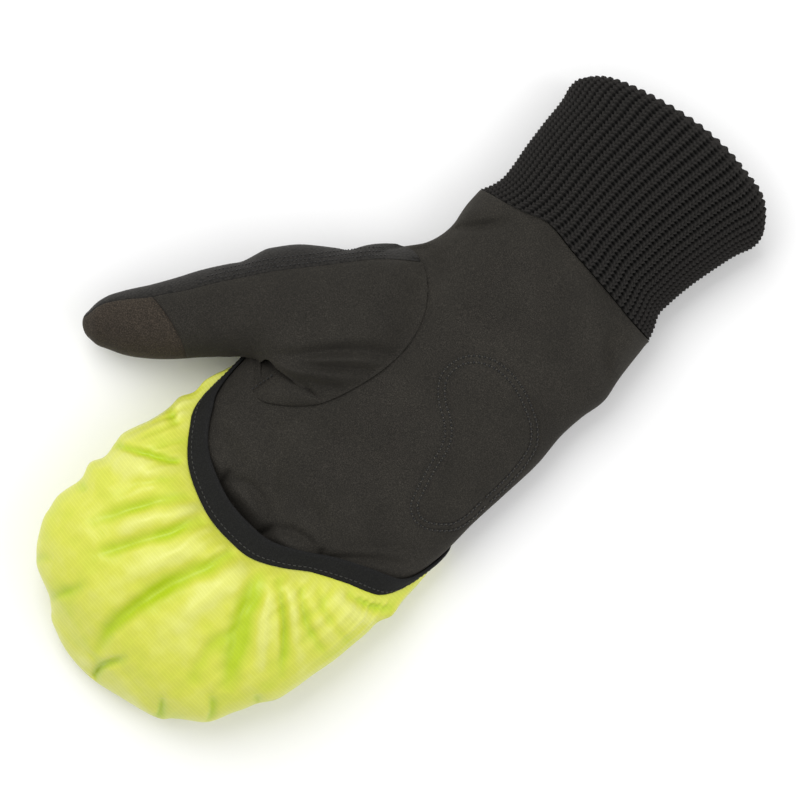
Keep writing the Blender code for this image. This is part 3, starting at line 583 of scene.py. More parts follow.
def shell(points, round_rows=False, round_columns=False, keep=None, poles=(), inside=None):
    """Points and faces of a grid. keep says which faces stay, poles are (row, point) to close to,
    and the faces are turned to look away from the point inside, or from one for each, or up."""
    rows, columns, _ = points.shape
    faces = quads(rows, columns, round_rows, round_columns)
    if keep is not None:
        faces = faces[keep.reshape(-1)[: len(faces)]]
    points = points.reshape(-1, 3)
    sides = (points[faces[:, 2]] - points[faces[:, 0]], points[faces[:, 3]] - points[faces[:, 1]])
    normals = np.cross(*sides)
    centres = points[faces].mean(axis=1)
    outward = np.array([0.0, 0.0, 1.0]) if inside is None else centres - np.asarray(inside)
    turned = (normals * outward).sum() < 0
    faces = faces.tolist()
    for row, pole in poles:
        points = np.vstack([points, pole])
        at = np.arange(columns) + row * columns
        fan = np.stack([at, np.roll(at, -1), np.full(columns, len(points) - 1)], -1)
        faces += (fan if row else fan[:, ::-1]).tolist()
    if turned:
        faces = [face[::-1] for face in faces]
    return points, faces


def to_row(s, points):
    """From the hand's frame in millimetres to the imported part's frame in metres."""
    return (points + s.shift) * MM


def add_piece(s, name, shells, materials, kinds=None, hollow=None):
    """One object from several shells in the hand's frame. kinds gives each shell's material, and
    hollow, which a material may read, says how deep each point lies in the cloth's relief."""
    for old in [o for o in bpy.data.objects if o.name == name]:
        bpy.data.objects.remove(old, do_unlink=True)
    points, faces, kind_of = [], [], []
    before = 0
    for number, (some, some_faces) in enumerate(shells):
        points.append(some)
        faces += [[corner + before for corner in face] for face in some_faces]
        kind_of += [kinds[number] if kinds else 0] * len(some_faces)
        before += len(some)
    points = np.vstack(points)
    used = np.zeros(len(points), bool)
    used[np.concatenate([np.asarray(face) for face in faces])] = True
    fresh = np.cumsum(used) - 1
    mesh = bpy.data.meshes.new(name)
    mesh.from_pydata(to_row(s, points[used]).tolist(), [], [[fresh[c] for c in face] for face in faces])
    for material in materials:
        mesh.materials.append(material)
    mesh.polygons.foreach_set("material_index", np.array(kind_of, np.int32))
    if hollow is not None:
        layer = mesh.attributes.new("hollow", "FLOAT", "POINT")
        layer.data.foreach_set("value", np.ravel(hollow)[used].astype(np.float32))
    mesh.shade_smooth()
    made = bpy.data.objects.new(name, mesh)
    bpy.context.scene.collection.objects.link(made)
    return made


def wall(piece, thickness):
    """Gives open cloth its thickness, inwards from the face."""
    solidify = piece.modifiers.new("wall", "SOLIDIFY")
    solidify.thickness = thickness * MM
    solidify.offset = -1
    solidify.use_even_offset = False
    return piece


def settle(piece, slot, *nodes):
    """A finished piece rides on the part's one body and stands for its CAD nodes."""
    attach(piece, "root")
    if nodes:
        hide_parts(*nodes)
    return piece


def stitches(path, normals, pitch, thread, length=0.72, start=0.0, sink=0.15):
    """A row of stitches along a path of points: each is a capsule of a few rings, which dips into
    the cloth at both ends. length is its share of the pitch, and start shifts the row by one's."""
    run = run_of(path)
    count = int(run[-1] / pitch)
    middles = (np.arange(count - 1) + 0.5 + start) * run[-1] / count

    def read(values, where):
        return np.stack([np.interp(where, run, values[:, axis]) for axis in range(3)], axis=-1)

    length = pitch * length
    centre, up = read(path, middles), read(normals, middles)
    ahead = unit(read(path, middles + length / 2) - read(path, middles - length / 2))
    side = unit(np.cross(up, ahead))
    up = np.cross(ahead, side)
    share = np.linspace(-1, 1, 7)
    turn = np.arange(6) * np.pi / 3
    size = np.sqrt(np.clip(1 - share**6, 0.03, 1)) * thread / 2
    ring_along = (share * length / 2)[:, None] + 0 * turn
    ring_side = size[:, None] * np.cos(turn)
    dip = thread * 0.30 - (thread * 0.55 + sink) * share**4
    ring_up = size[:, None] * np.sin(turn) + dip[:, None]
    points = (
        centre[:, None, None]
        + ring_along[None, ..., None] * ahead[:, None, None]
        + ring_side[None, ..., None] * side[:, None, None]
        + ring_up[None, ..., None] * up[:, None, None]
    )
    one = quads(7, 6, round_columns=True).tolist() + [list(range(6))[::-1], list(range(36, 42))]
    faces = [[corner + 42 * number for corner in face] for number in range(count - 1) for face in one]
    return points.reshape(-1, 3), faces


# The shapes


def seam_y(s, angle):
    """The wrist's seam, which climbs a little on the thumb's side."""
    return smooth(CUFF_ENDS, "sewn", np.cos(angle), along="cosine") * s.cuff_length


def open_end_y(s, angle):
    """The cuff's open end: the curve of the table on top, and straight across underneath."""
    cosine = np.cos(angle)
    upper = smooth(CUFF_ENDS, "open", cosine, along="cosine")
    first, last = CUFF_ENDS["open"][0], CUFF_ENDS["open"][-1]
    lower = first + (last - first) * (1 + cosine) / 2
    return (lower + (upper - lower) * ease(0.5 + np.sin(angle) / 0.6)) * s.cuff_length


def knit_relief(s, around, along):
    """How far the knit lies under the tops of its ribs. around counts ribs and along is in mm.
    A rib is a chain of stitches: two legs slant away from a groove down its middle, row by row, and
    between two ribs the fabric falls back, deepest in a hole beside each stitch."""
    off = np.abs(2 * (around % 1.0) - 1)  # 1 in the valley, 0 on the top of the rib
    row = along / s.row_pitch
    column = 0.55 * s.rib_height * ease((off - 0.20) / 0.80)
    groove = 0.35 * bell(off, 0.20)
    legs = 0.80 * (0.5 - 0.5 * np.cos(2 * np.pi * (row + 0.85 * off))) * (1 - 0.5 * off**3)
    between = (0.5 + 0.5 * np.cos(2 * np.pi * row)) ** 1.4
    holes = 0.85 * s.rib_height * ease((off - 0.40) / 0.45) * between
    return column + groove + legs + holes


def hand_edges(s, along):
    """Left, right, bottom and top of the hand's section. It rises onto the cover that it lies on."""
    left, right, _, top = edges(HAND_SECTIONS, along, s.palm_width, s.palm_height)
    risen = ease((along - LIFT_FROM_SHARE) / (LIFT_TO_SHARE - LIFT_FROM_SHARE))
    return left, right, s.lift * risen, top


def hand_points(s, along, angle, grow=0.0):
    """Points on the plain hand. along is a share of its length and may differ from point to point."""
    x, z = section(*hand_edges(s, along), angle, grow)
    return np.stack([x, s.wrist + along * s.hand_length + 0 * x, z], axis=-1)


def lap_points(s, along, angle, grow):
    """Points round the hand where the mouth of the cover lies on it, or spans past its knuckles."""
    points = hand_points(s, np.minimum(along, LAP_END_SHARE), angle, grow)
    points[..., 1] = s.wrist + along * s.hand_length
    return points


def finger_tops(s, x):
    """Height of the fingers' upper side where they leave the hand, over a place across it."""
    low = s.lift + GAP
    tops = np.full(np.shape(x), low + WIDEST_SHARE * FINGER_HEIGHT)
    for middle, width, _, _ in FINGERS.values():
        across = middle * s.palm_width
        over = dome(across - width / 2, across + width / 2, low, low + FINGER_HEIGHT, x)
        tops = np.maximum(tops, over)
    return tops


def pad_relief(x, y):
    """The pad's rise inside its stitched outline, with a trough along each of the two rows."""
    outline = curve_through(PAD_OUTLINE, 160, closed=True)
    away, _ = beside(x, y, np.vstack([outline, outline[:1]]))
    signed = np.where(within(x, y, outline), -away, away)
    raised = PAD_RISE * ease(0.5 - (signed + 1.5) / 5.0)
    return raised - PAD_TROUGH * (bell(signed - 1.2, 0.75) + bell(signed + 1.4, 0.75))


def palm_height(s, x, y):
    """Height of the palm over a place of the table: the dome of its section, lowered to the fingers
    near their roots, with the pad, the folds and a soft waviness, all of which die at the sides."""
    along = (y - s.wrist) / s.hand_length
    left, right, bottom, top = hand_edges(s, along)
    plain = dome(left, right, bottom, top, x)
    tucked = ease(1 + (along - 1) / TUCK_SHARE)
    plain = plain + np.maximum(finger_tops(s, x) - plain, -TUCK_DROP) * tucked
    edge = np.abs((2 * x - left - right) / (right - left))
    inward = ease((1.0 - edge) / 0.06)
    relief = pad_relief(x, y) * ease((1.0 - edge) / 0.03) + folded(x, y, PALM_FOLDS) * inward
    relief += 0.35 * waves(x, y, 31, 0.4) * inward + 0.12 * waves(x, y, 9, 2.2) * inward
    roll = ROLL_DROP * (1 - ease((y - s.wrist - 1.0) / 3.0))
    return plain + relief - roll


def thumb_frame(s, x, y):
    """Along and across the thumb, in mm, for a place of the table."""
    dx, dy = x - s.thumb_root[0], y - s.thumb_root[1]
    along = dx * s.thumb_forward[0] + dy * s.thumb_forward[1]
    return along, dx * s.thumb_sideways[0] + dy * s.thumb_sideways[1]


def thumb_place(s, along, across, up):
    """A point of the hand's frame from the thumb's own."""
    plan = (
        s.thumb_root
        + np.expand_dims(along, -1) * s.thumb_forward
        + np.expand_dims(across, -1) * s.thumb_sideways
    )
    return np.concatenate([plan, np.expand_dims(up, -1)], axis=-1)


def thumb_edges(s, share):
    """Left, right, bottom and top of the thumb's section."""
    return edges(THUMB_SECTIONS, share, s.thumb_width, s.thumb_height)


def base_across(s, along, upper):
    """Across the thumb on the seam round its base, for a length along it. The seam has two branches,
    which part where it reaches furthest back: the upper ends by the gusset."""
    seam_along, seam_across = thumb_frame(s, *curve_through(BASE_SEAM, 500).T)
    back = np.argmin(seam_along)
    part = slice(back, None) if upper else slice(back, None, -1)
    return np.interp(along, np.maximum.accumulate(seam_along[part]), seam_across[part])


def section_angle(s, share, across):
    """The angle round the thumb's section at which its upper side is that far across."""
    left, right, _, _ = thumb_edges(s, share)
    return np.arccos(np.clip((2 * across - left - right) / (right - left), -1, 1))


def thumb_angles(s, share):
    """The angles round the thumb's section at which its front starts, by the seams with the palm and
    the back, and ends: by the palm's seam, the fold and the crotch, then low on the inner side."""
    along = share * s.thumb_length
    outer = smooth(THUMB_SEAM, "outer", share) * s.thumb_width
    start = section_angle(s, share, np.maximum(outer, base_across(s, along, False)))
    first = THUMB_INNER["along"][0]
    last = THUMB_INNER["along"][-1]
    past = smooth(THUMB_INNER, "inner", share) * s.thumb_width
    inner = np.where(share < first, base_across(s, along, True), past)
    end = section_angle(s, share, inner)
    _, _, bottom, top = thumb_edges(s, share)
    middle = bottom + WIDEST_SHARE * (top - bottom)
    drop = np.clip((middle - THUMB_SEAM_UP * s.thumb_height) / (middle - bottom), 0.02, 0.9)
    under = -np.arccos(np.clip((1 - (drop / FLATTEN_FACTOR) ** ROUND) ** (1 / ROUND), -1, 1))
    return start, end + (under - end) * ease((share - 0.32) / (last - 0.32))


def thumb_surface(s, share, angle):
    """Points on the thumb. Over the hand its height runs from the palm's at the seam between them
    to its own, so that the ball of the thumb swells out of the palm with a crease all round."""
    left, right, bottom, top = thumb_edges(s, share)
    across, up = section(left, right, bottom, top, angle)
    points = thumb_place(s, share * s.thumb_length, across, up)
    x, y = points[..., 0], points[..., 1]
    away, _ = beside(x, y, curve_through(BASE_SEAM, 60))
    on_top = ease(np.sin(angle) / 0.2)
    facing = ease((np.pi + 0.6 - angle) / 0.6) * ease((angle + 0.5) / 0.5)
    joined = (1 - np.clip(away / BALL_BLEND, 0, 1)) ** 2 * facing * ease((0.37 - share) / 0.12)
    palm = palm_height(s, x, y)
    up = up + (palm + GAP - up) * joined
    up = up + folded(x, y, THUMB_FOLDS) * ease(np.sin(angle) / 0.35) * ease(away / 2.0)
    up = up + (0.25 * waves(x, y, 23, 1.1) + 0.10 * waves(x, y, 8, 0.3)) * on_top
    lip, _ = beside(x, y, curve_through(FOLD_LINE, 24))
    rolled = (1 - ease(lip / LIP_WIDTH)) * on_top * ease((share - 0.12) / 0.04)
    points[..., 2] = np.maximum(up - LIP_DROP * rolled**1.5, 0.0)
    return points


def mouth_reach(angle):
    """The binding's outer edge, as a share of the hand's length."""
    return smooth(MOUTH, "reach", np.degrees(angle), along="angle")


def mouth_width(s, angle):
    """The binding's width in mm: narrower under the hand."""
    return smooth(MOUTH, "narrow", np.degrees(angle), along="angle") * s.binding_width


def cover_points(s, part, angle):
    """Points on the cover, and how deep each lies in its folds: part is 0 on the mouth and 1 at the
    tip, along each angle. It swells from the hand to its own section, and the folds press its upper
    side in."""
    start = s.wrist + mouth_reach(angle) * s.hand_length - 0.8
    y = start + part * (s.tip - start)
    along = (y - s.foot) / s.cover_length
    across, up = section(*edges(COVER_SECTIONS, along, s.cover_width, s.cover_height), angle)
    own = np.stack([across, y, up], axis=-1)
    laid = lap_points(s, (y - s.wrist) / s.hand_length, angle, GAP + 0.55 * s.cover_wall)
    swell = 1 - (1 - np.clip(part / COVER_LOOSEN_SHARE, 0, 1)) ** 2.6
    points = laid + (own - laid) * np.expand_dims(swell, -1)
    x, y = points[..., 0], points[..., 1]
    upper = ease(np.sin(angle) / 0.25)
    puckers = 0.50 * np.sin(angle * 61 + 2.2 * np.sin(angle * 9)) * np.exp(-part / 0.12)
    puckers = puckers + 0.45 * np.sin(angle * 37 + 1.3) * np.exp(-part / 0.25)
    crumple = 0.32 * waves(x, y, 21, 0.9) + 0.14 * waves(x, y, 7, 2.8)
    grown = (folded(x, y, COVER_FOLDS) * upper + puckers + crumple * upper) * ease(part / 0.05)
    lower = (1 - upper) * 0.5 * waves(x, y, 19, 2.0) * ease(part / 0.1)
    grown = (grown + lower) * ease((1 - part) / 0.04)
    points[..., 0] += 0.35 * grown * np.cos(angle)
    points[..., 2] = np.maximum(points[..., 2] + grown * np.maximum(np.sin(angle), 0.0), 0.0)
    return points, -grown


# Materials


def linear(hex_value):
    """An sRGB hex value as linear red, green, blue and full alpha."""
    parts = [int(hex_value.lstrip("#")[i : i + 2], 16) / 255 for i in (0, 2, 4)]
    curved = [c / 12.92 if c <= 0.04045 else ((c + 0.055) / 1.055) ** 2.4 for c in parts]
    return (*curved, 1.0)


def add_node(tree, kind, settings=None, inputs=None, stops=()):
    """Adds a node with its settings and its inputs, each a value or another node's output to link,
    and the stops of a ramp as (place, hex colour)."""
    node = tree.nodes.new(kind)
    for name, value in (settings or {}).items():
        setattr(node, name, value)
    for name, value in (inputs or {}).items():
        if isinstance(value, bpy.types.NodeSocket):
            tree.links.new(value, node.inputs[name])
        else:
            node.inputs[name].default_value = value
    if stops:
        elements = node.color_ramp.elements
        while len(elements) < len(stops):
            elements.new(0.5)
        for element, (position, colour) in zip(elements, stops):
            element.position = position
            element.color = linear(colour)
    return node


def new_material(name, roughness, sheen=0.0, sheen_roughness=0.5, sheen_tint="#ffffff", specular=0.5):
    """A material with its constants on the shader's own sockets, and its object coordinates."""
    made = bpy.data.materials.new(name)
    made.use_nodes = True
    tree = made.node_tree
    shader = tree.nodes["Principled BSDF"]
    shader.inputs["Roughness"].default_value = roughness
    shader.inputs["Specular IOR Level"].default_value = specular
    shader.inputs["Sheen Weight"].default_value = sheen
    shader.inputs["Sheen Roughness"].default_value = sheen_roughness
    shader.inputs["Sheen Tint"].default_value = linear(sheen_tint)
    place = add_node(tree, "ShaderNodeTexCoord").outputs["Object"]
    return made, tree, shader, place


def tones(tree, place, grain, *stops, detail=2.0, rough=0.5):
    """Tones that wander over a cloth: noise whose grain is that many millimetres, through stops."""
    wander = {"Vector": place, "Scale": 1 / (grain * MM), "Detail": detail, "Roughness": rough}
    level = add_node(tree, "ShaderNodeTexNoise", inputs=wander).outputs["Fac"]
    return add_node(tree, "ShaderNodeValToRGB", inputs={"Fac": level}, stops=stops).outputs["Color"]


def nap(tree, shader, place, grain, depth, strength, detail=2.0, rough=0.5):
    """Roughens a face with fibres or pores of that grain and depth, both in millimetres."""
    wander = {"Vector": place, "Scale": 1 / (grain * MM), "Detail": detail, "Roughness": rough}
    level = add_node(tree, "ShaderNodeTexNoise", inputs=wander).outputs["Fac"]
    raised = {"Height": level, "Distance": depth * MM, "Strength": strength}
    face = add_node(tree, "ShaderNodeBump", inputs=raised)
    tree.links.new(face.outputs["Normal"], shader.inputs["Normal"])


def dye(tree, shader, colour, *tints):
    """Gives a face its colour, a fixed one or an output, multiplied by each tint in turn."""
    for tint in tints:
        multiply = {"data_type": "RGBA", "blend_type": "MULTIPLY"}
        both = {0: 1.0, 6: colour, 7: tint}
        colour = add_node(tree, "ShaderNodeMix", multiply, both).outputs[2]
    tree.links.new(colour, shader.inputs["Base Color"])


def once(build, name, *values):
    """The material of that name, built if the file has none yet."""
    return bpy.data.materials.get(name) or build(name, *values)


def brushed_softshell(name, base, fleck, grain=0.32):
    """Brushed polyester softshell: a matt face of short fibres, which reads as a dark cloth with a
    fine lighter fleck and faint broad clouds where the nap lies another way. The fibres are a few
    hundredths of a millimetre thick, and are drawn as grains of a third of one so that they show."""
    made, tree, shader, place = new_material(name, 0.88, 0.12, 0.45, "#8a8272", 0.22)
    flecks = tones(tree, place, grain, (0.46, base), (0.76, fleck), detail=3.0, rough=0.75)
    clouds = tones(tree, place, 22.0, (0.30, "#d9d9d9"), (0.75, "#ffffff"))
    dye(tree, shader, flecks, clouds)
    nap(tree, shader, place, 0.45, 0.10, 0.55, rough=0.6)
    return made


def knit_yarn(name, base):
    """Acrylic rib knit: thick matt yarn with a halo of loose fibres. Painted shade, read from the
    "hollow" attribute, darkens it to near black where its relief lies deepest. The fibres are drawn as
    grains of a third of a millimetre, coarser than they are, so that they show."""
    made, tree, shader, place = new_material(name, 0.95, 0.10, 0.6, "#8b8986", 0.15)
    fibres = tones(tree, place, 0.35, (0.35, "#b5b5b5"), (0.70, "#ffffff"), rough=0.7)
    # Painted shade: the deeper the knit's relief at a point, the darker its colour, down to near black
    depth = add_node(tree, "ShaderNodeAttribute", {"attribute_name": "hollow"}).outputs["Fac"]
    shade = add_node(tree, "ShaderNodeMath", {"operation": "MULTIPLY"}, {0: depth, 1: 0.4}).outputs[0]
    stops = ((0.12, "#ffffff"), (0.45, "#9c9c9c"), (0.90, "#262626"))
    painted_hollow_shade = add_node(tree, "ShaderNodeValToRGB", None, {"Fac": shade}, stops).outputs["Color"]
    dye(tree, shader, linear(base), fibres, painted_hollow_shade)
    nap(tree, shader, place, 0.30, 0.12, 0.7, rough=0.7)
    return made


def embossed_knit(name, base, cell=0.9):
    """Warp knit with a raised cell: small pads a millimetre apart, with painted shade that darkens the
    low ground between them.
    """
    made, tree, shader, place = new_material(name, 0.85, 0.15, 0.5, "#8b8884", 0.25)
    laid = {"Vector": place, "Scale": 1 / (cell * MM), "Randomness": 0.55}
    cells = add_node(tree, "ShaderNodeTexVoronoi", {"feature": "SMOOTH_F1"}, laid).outputs["Distance"]
    # Painted shade: the ground between the raised pads is darkened
    stops = ((0.10, "#ffffff"), (0.62, "#929292"))
    tone = add_node(tree, "ShaderNodeValToRGB", None, {"Fac": cells}, stops).outputs["Color"]
    dye(tree, shader, linear(base), tone)
    pads = add_node(tree, "ShaderNodeMath", {"operation": "SUBTRACT"}, {0: 1.0, 1: cells}).outputs[0]
    raised = {"Height": pads, "Distance": 0.24 * MM, "Strength": 0.7}
    face = add_node(tree, "ShaderNodeBump", inputs=raised)
    tree.links.new(face.outputs["Normal"], shader.inputs["Normal"])
    return made


def ripstop_nylon(name, folds, smooth_cloth, sheen):
    """Calendered ripstop nylon in a fluorescent dye, with a raised thread along it every five
    millimetres. Its colour carries painted shade, clear and deep in its folds, and a painted
    highlight, pale on its ridges, both read from the "hollow" attribute, over faint random clouds of
    tone. Its own weave is a fifth of a millimetre apart, and is drawn every 1.2 so that it shows."""
    made, tree, shader, place = new_material(name, 0.42, 0.25, 0.35, "#f3f3cf", 0.45)
    parts = add_node(tree, "ShaderNodeSeparateXYZ", inputs={"Vector": place})
    threads = {}
    for number, (axis, pitch, level) in enumerate((("Y", 1.2, 1.0), ("X", 4.8, 0.72))):
        value = parts.outputs[axis]
        turns = 2 * math.pi / (pitch * MM)
        for operation, by in (("MULTIPLY", {1: turns}), ("SINE", {}), ("MULTIPLY", {1: level})):
            step = {"operation": operation}
            value = add_node(tree, "ShaderNodeMath", step, {0: value, **by}).outputs[0]
        threads[number] = value
    grid = add_node(tree, "ShaderNodeMath", {"operation": "MAXIMUM"}, threads).outputs[0]
    wander = {"Vector": place, "Scale": 1 / (14.0 * MM), "Detail": 3.0, "Roughness": 0.6}
    clouds = add_node(tree, "ShaderNodeTexNoise", inputs=wander).outputs["Fac"]
    weighted = {"operation": "MULTIPLY_ADD"}
    uneven = add_node(tree, "ShaderNodeMath", weighted, {0: clouds, 1: 0.55, 2: 0.15}).outputs[0]
    depth = add_node(tree, "ShaderNodeAttribute", {"attribute_name": "hollow"}).outputs["Fac"]
    level = add_node(tree, "ShaderNodeMath", weighted, {0: depth, 1: 0.14, 2: uneven}).outputs[0]
    # Painted light: by the depth in "hollow", the folds take the painted shade and the ridges the
    # painted highlight
    stops = ((0.22, sheen), (0.44, smooth_cloth), (0.82, folds))
    tone_shade_and_highlight = add_node(tree, "ShaderNodeValToRGB", None, {"Fac": level}, stops).outputs["Color"]
    stops = ((0.60, "#f5f5ee"), (1.0, "#ffffff"))
    lines = add_node(tree, "ShaderNodeValToRGB", None, {"Fac": grid}, stops).outputs["Color"]
    dye(tree, shader, tone_shade_and_highlight, lines)
    raised = {"Height": grid, "Distance": 0.04 * MM, "Strength": 0.4}
    face = add_node(tree, "ShaderNodeBump", inputs=raised)
    tree.links.new(face.outputs["Normal"], shader.inputs["Normal"])
    return made


def woven_elastic(name, base, fleck):
    """Flat woven elastic: a tight matt tape with a fine fleck where its yarns cross, drawn at 0.4 mm,
    about twice their pitch, so that it shows."""
    made, tree, shader, place = new_material(name, 0.85, 0.06, 0.5, "#80827e", 0.2)
    dye(tree, shader, tones(tree, place, 0.4, (0.45, base), (0.80, fleck), rough=0.7))
    nap(tree, shader, place, 0.5, 0.12, 0.6, rough=0.6)
    return made


def polyester_thread(name, base):
    """Twisted polyester sewing thread with a low gloss, its twist a fine change of tone, drawn
    coarser than it is so that it shows."""
    made, tree, shader, place = new_material(name, 0.55, 0.1, 0.5, "#ffffff", 0.4)
    twist = tones(tree, place, 0.25, (0.35, "#9a9a9a"), (0.65, "#ffffff"), detail=1.0)
    dye(tree, shader, linear(base), twist)
    return made


def open_foam(name, base):
    """Open-cell polyurethane foam: matt, with pores of about a third of a millimetre."""
    made, tree, shader, place = new_material(name, 0.95)
    pores = tones(tree, place, 0.35, (0.35, "#777777"), (0.60, "#ffffff"), detail=1.0)
    dye(tree, shader, linear(base), pores)
    nap(tree, shader, place, 0.35, 0.2, 0.6, detail=1.0)
    return made


def painted_board(name):
    """A matt painted board, the plain pale floor."""
    made, tree, shader, place = new_material(name, 0.9, specular=0.2)
    dye(tree, shader, tones(tree, place, 180.0, (0.3, "#f3f3f3"), (0.7, "#f6f6f6"), detail=1.0))
    return made


# The pieces


class MITTEN_OT_cuff(bpy.types.Operator):
    """Knits the ribbed cuff"""

    bl_idname = "mitten.cuff"
    bl_label = "Knit cuff"

    def execute(self, context):
        s, c = sizes(), context.scene.mitten_colours
        above, below, outer_rows, inner_rows, rim_rows = 8, 4, 196, 8, 5
        half = s.rib_count // 2
        around = np.concatenate([
            np.arange(half * above) / above,
            half + np.arange((s.rib_count - half) * below) / below,
        ])
        angle = around * 2 * np.pi / s.rib_count
        end = open_end_y(s, angle) + s.cuff_wall / 2
        seam = seam_y(s, angle) - GAP
        radius = s.cuff_wall / 2
        profile = [(share, 0.0, 1.0) for share in np.linspace(1, 0, outer_rows)]
        for turn in np.linspace(0, np.pi, rim_rows + 2)[1:-1]:
            profile.append((0.0, turn, 0.5 + 0.5 * math.cos(turn)))
        profile += [(share, np.pi, 0.0) for share in np.linspace(0, 1, inner_rows)]
        rows, depths = [], []
        for share, turn, knitted in profile:
            y = end + share * (seam - end) - radius * math.sin(turn)
            sunk = knit_relief(s, around, y) * knitted * (0.55 + 0.45 * ease(share / 0.04))
            sunk = sunk + 0.45 * (1 - knitted) * (0.5 + 0.5 * np.cos(2 * np.pi * around))
            depths.append(sunk)
            grow = 0.5 - sunk - radius + radius * math.cos(turn)
            along = (y - end) / (seam - end)
            x, z = section(*edges(CUFF_SECTIONS, along, s.cuff_width, s.cuff_height), angle, grow)
            y = y + 0.45 * np.cos(2 * np.pi * around) * (1 - share) ** 8
            rows.append(np.stack([x, y, np.maximum(z, 0.0)], axis=-1))
        knit = shell(np.array(rows), round_rows=True, round_columns=True, inside=(0, 30, 15))
        yarn = once(knit_yarn, "acrylic_rib_knit", c.knit)
        cuff = add_piece(s, "cuff_knit", [knit], [yarn], hollow=np.array(depths))
        settle(cuff, "rib_knit", "knit_cuff")
        return {"FINISHED"}


class MITTEN_OT_hand(bpy.types.Operator):
    """Cuts the palm and the back of the hand, each with its side of the four fingers"""

    bl_idname = "mitten.hand"
    bl_label = "Palm and back"

    def execute(self, context):
        s, c = sizes(), context.scene.mitten_colours
        cloth = once(brushed_softshell, "brushed_softshell", c.softshell, c.softshell_fleck)
        lap, short = SIDE_ALLOWANCE, SIDE_ALLOWANCE + 0.006
        palm = [self.side(s, -lap, np.pi + lap, GRIDS["palm"], True)]
        back = [self.side(s, np.pi + short, 2 * np.pi - short, GRIDS["back"], False)]
        for finger in FINGERS:
            palm.append(self.finger(s, finger, 0.05, np.pi - 0.05))
            back.append(self.finger(s, finger, np.pi + 0.05, 2 * np.pi - 0.05))
        front = wall(add_piece(s, "palm_softshell", palm, [cloth]), s.fabric_wall)
        rear = wall(add_piece(s, "back_softshell", back, [cloth]), s.fabric_wall)
        settle(front, "softshell", "palm_panel")
        settle(rear, "softshell", "back_panel")
        return {"FINISHED"}

    def side(self, s, first, last, grid, upper):
        """The palm or the back: rows from the wrist's seam to under the binding, columns from side
        seam to side seam. What lies inside the thumb is cut out, but for an allowance at the seam."""
        rows, columns = grid
        angle = np.linspace(first, last, columns)
        reach = np.minimum(mouth_reach(np.mod(angle, 2 * np.pi)), 1.0) if upper else 1.0 + 0 * angle
        start = seam_y(s, angle)
        end = s.wrist + reach * s.hand_length - 1.0
        v = np.linspace(0, 1, rows)[:, None]
        y = start + v * (end - start)
        along = (y - s.wrist) / s.hand_length
        points = hand_points(s, along, angle[None, :] + 0 * y)
        points[..., 1] = y
        x, z = points[..., 0], points[..., 2]
        if upper:
            plain = dome(*hand_edges(s, along), x)
            z = z + (palm_height(s, x, y) - plain) * (np.sin(angle) > 0)
        else:
            crumple = 0.5 * waves(x, y, 27, 1.6) * ease((z - 1.0) / 5.0)
            z = np.maximum(z + crumple, 0.0)
            x = x + 0.8 * waves(y, z, 21, 0.7) * ease((z - 1.0) / 6.0) * ease((12 - z) / 3.0)
        seam = curve_through(BASE_SEAM, 80)
        hole = np.vstack([seam, curve_through(PALM_RIM, 12), [(70, 170), (70, 102)]])
        away, _ = beside(x, y, hole)
        inside = within(x, y, hole)
        if upper:
            z = z - 0.6 * bell(away, 1.1) - np.where(inside, 2.2 * ease(away / 3.0), 0.0)
        # Low on the sides more is kept, so that nothing can be seen through by the thumb's root
        by_root = ease((116 - y) / 8.0)
        kept_below = 22.0 * by_root if upper else 13.0 + 2.0 * by_root
        cut = inside & (away > SEAM_ALLOWANCE) & (z > kept_below)
        keep = ~(cut[:-1, :-1] | cut[1:, 1:] | cut[:-1, 1:] | cut[1:, :-1])
        points = np.stack([x, y, z], axis=-1)
        return shell(points, keep=keep, inside=(0, 120, 13 if upper else 16))

    def finger(self, s, name, first, last):
        """Half of one finger's tube, from the hand to its closed tip."""
        middle, width, length, lean = FINGERS[name]
        root = s.wrist + 0.99 * s.hand_length
        whole = s.wrist + s.hand_length + length - root
        u, v = parameters("finger")
        share = 1 - (1 - u) ** 1.6
        size = smooth(FINGER_SECTIONS, "size", share)
        angle = first + v * (last - first)
        low = s.lift + GAP
        x, z = section(
            middle * s.palm_width + lean * share - width * size / 2,
            middle * s.palm_width + lean * share + width * size / 2,
            low + FINGER_HEIGHT * (1 - size) / 2,
            low + FINGER_HEIGHT * (1 + size) / 2,
            angle,
        )
        y = root + share * whole + 0 * x
        across = middle * s.palm_width + lean
        points = np.stack([x, y, z], axis=-1)
        tip = np.array([across, root + whole, low + FINGER_HEIGHT / 2])
        points[-1] = tip + (points[-1] - tip) * 0.35
        points[-1, :, 1] = root + whole + 0.6
        return shell(points, inside=(across, root + whole / 2, low + FINGER_HEIGHT * WIDEST_SHARE))


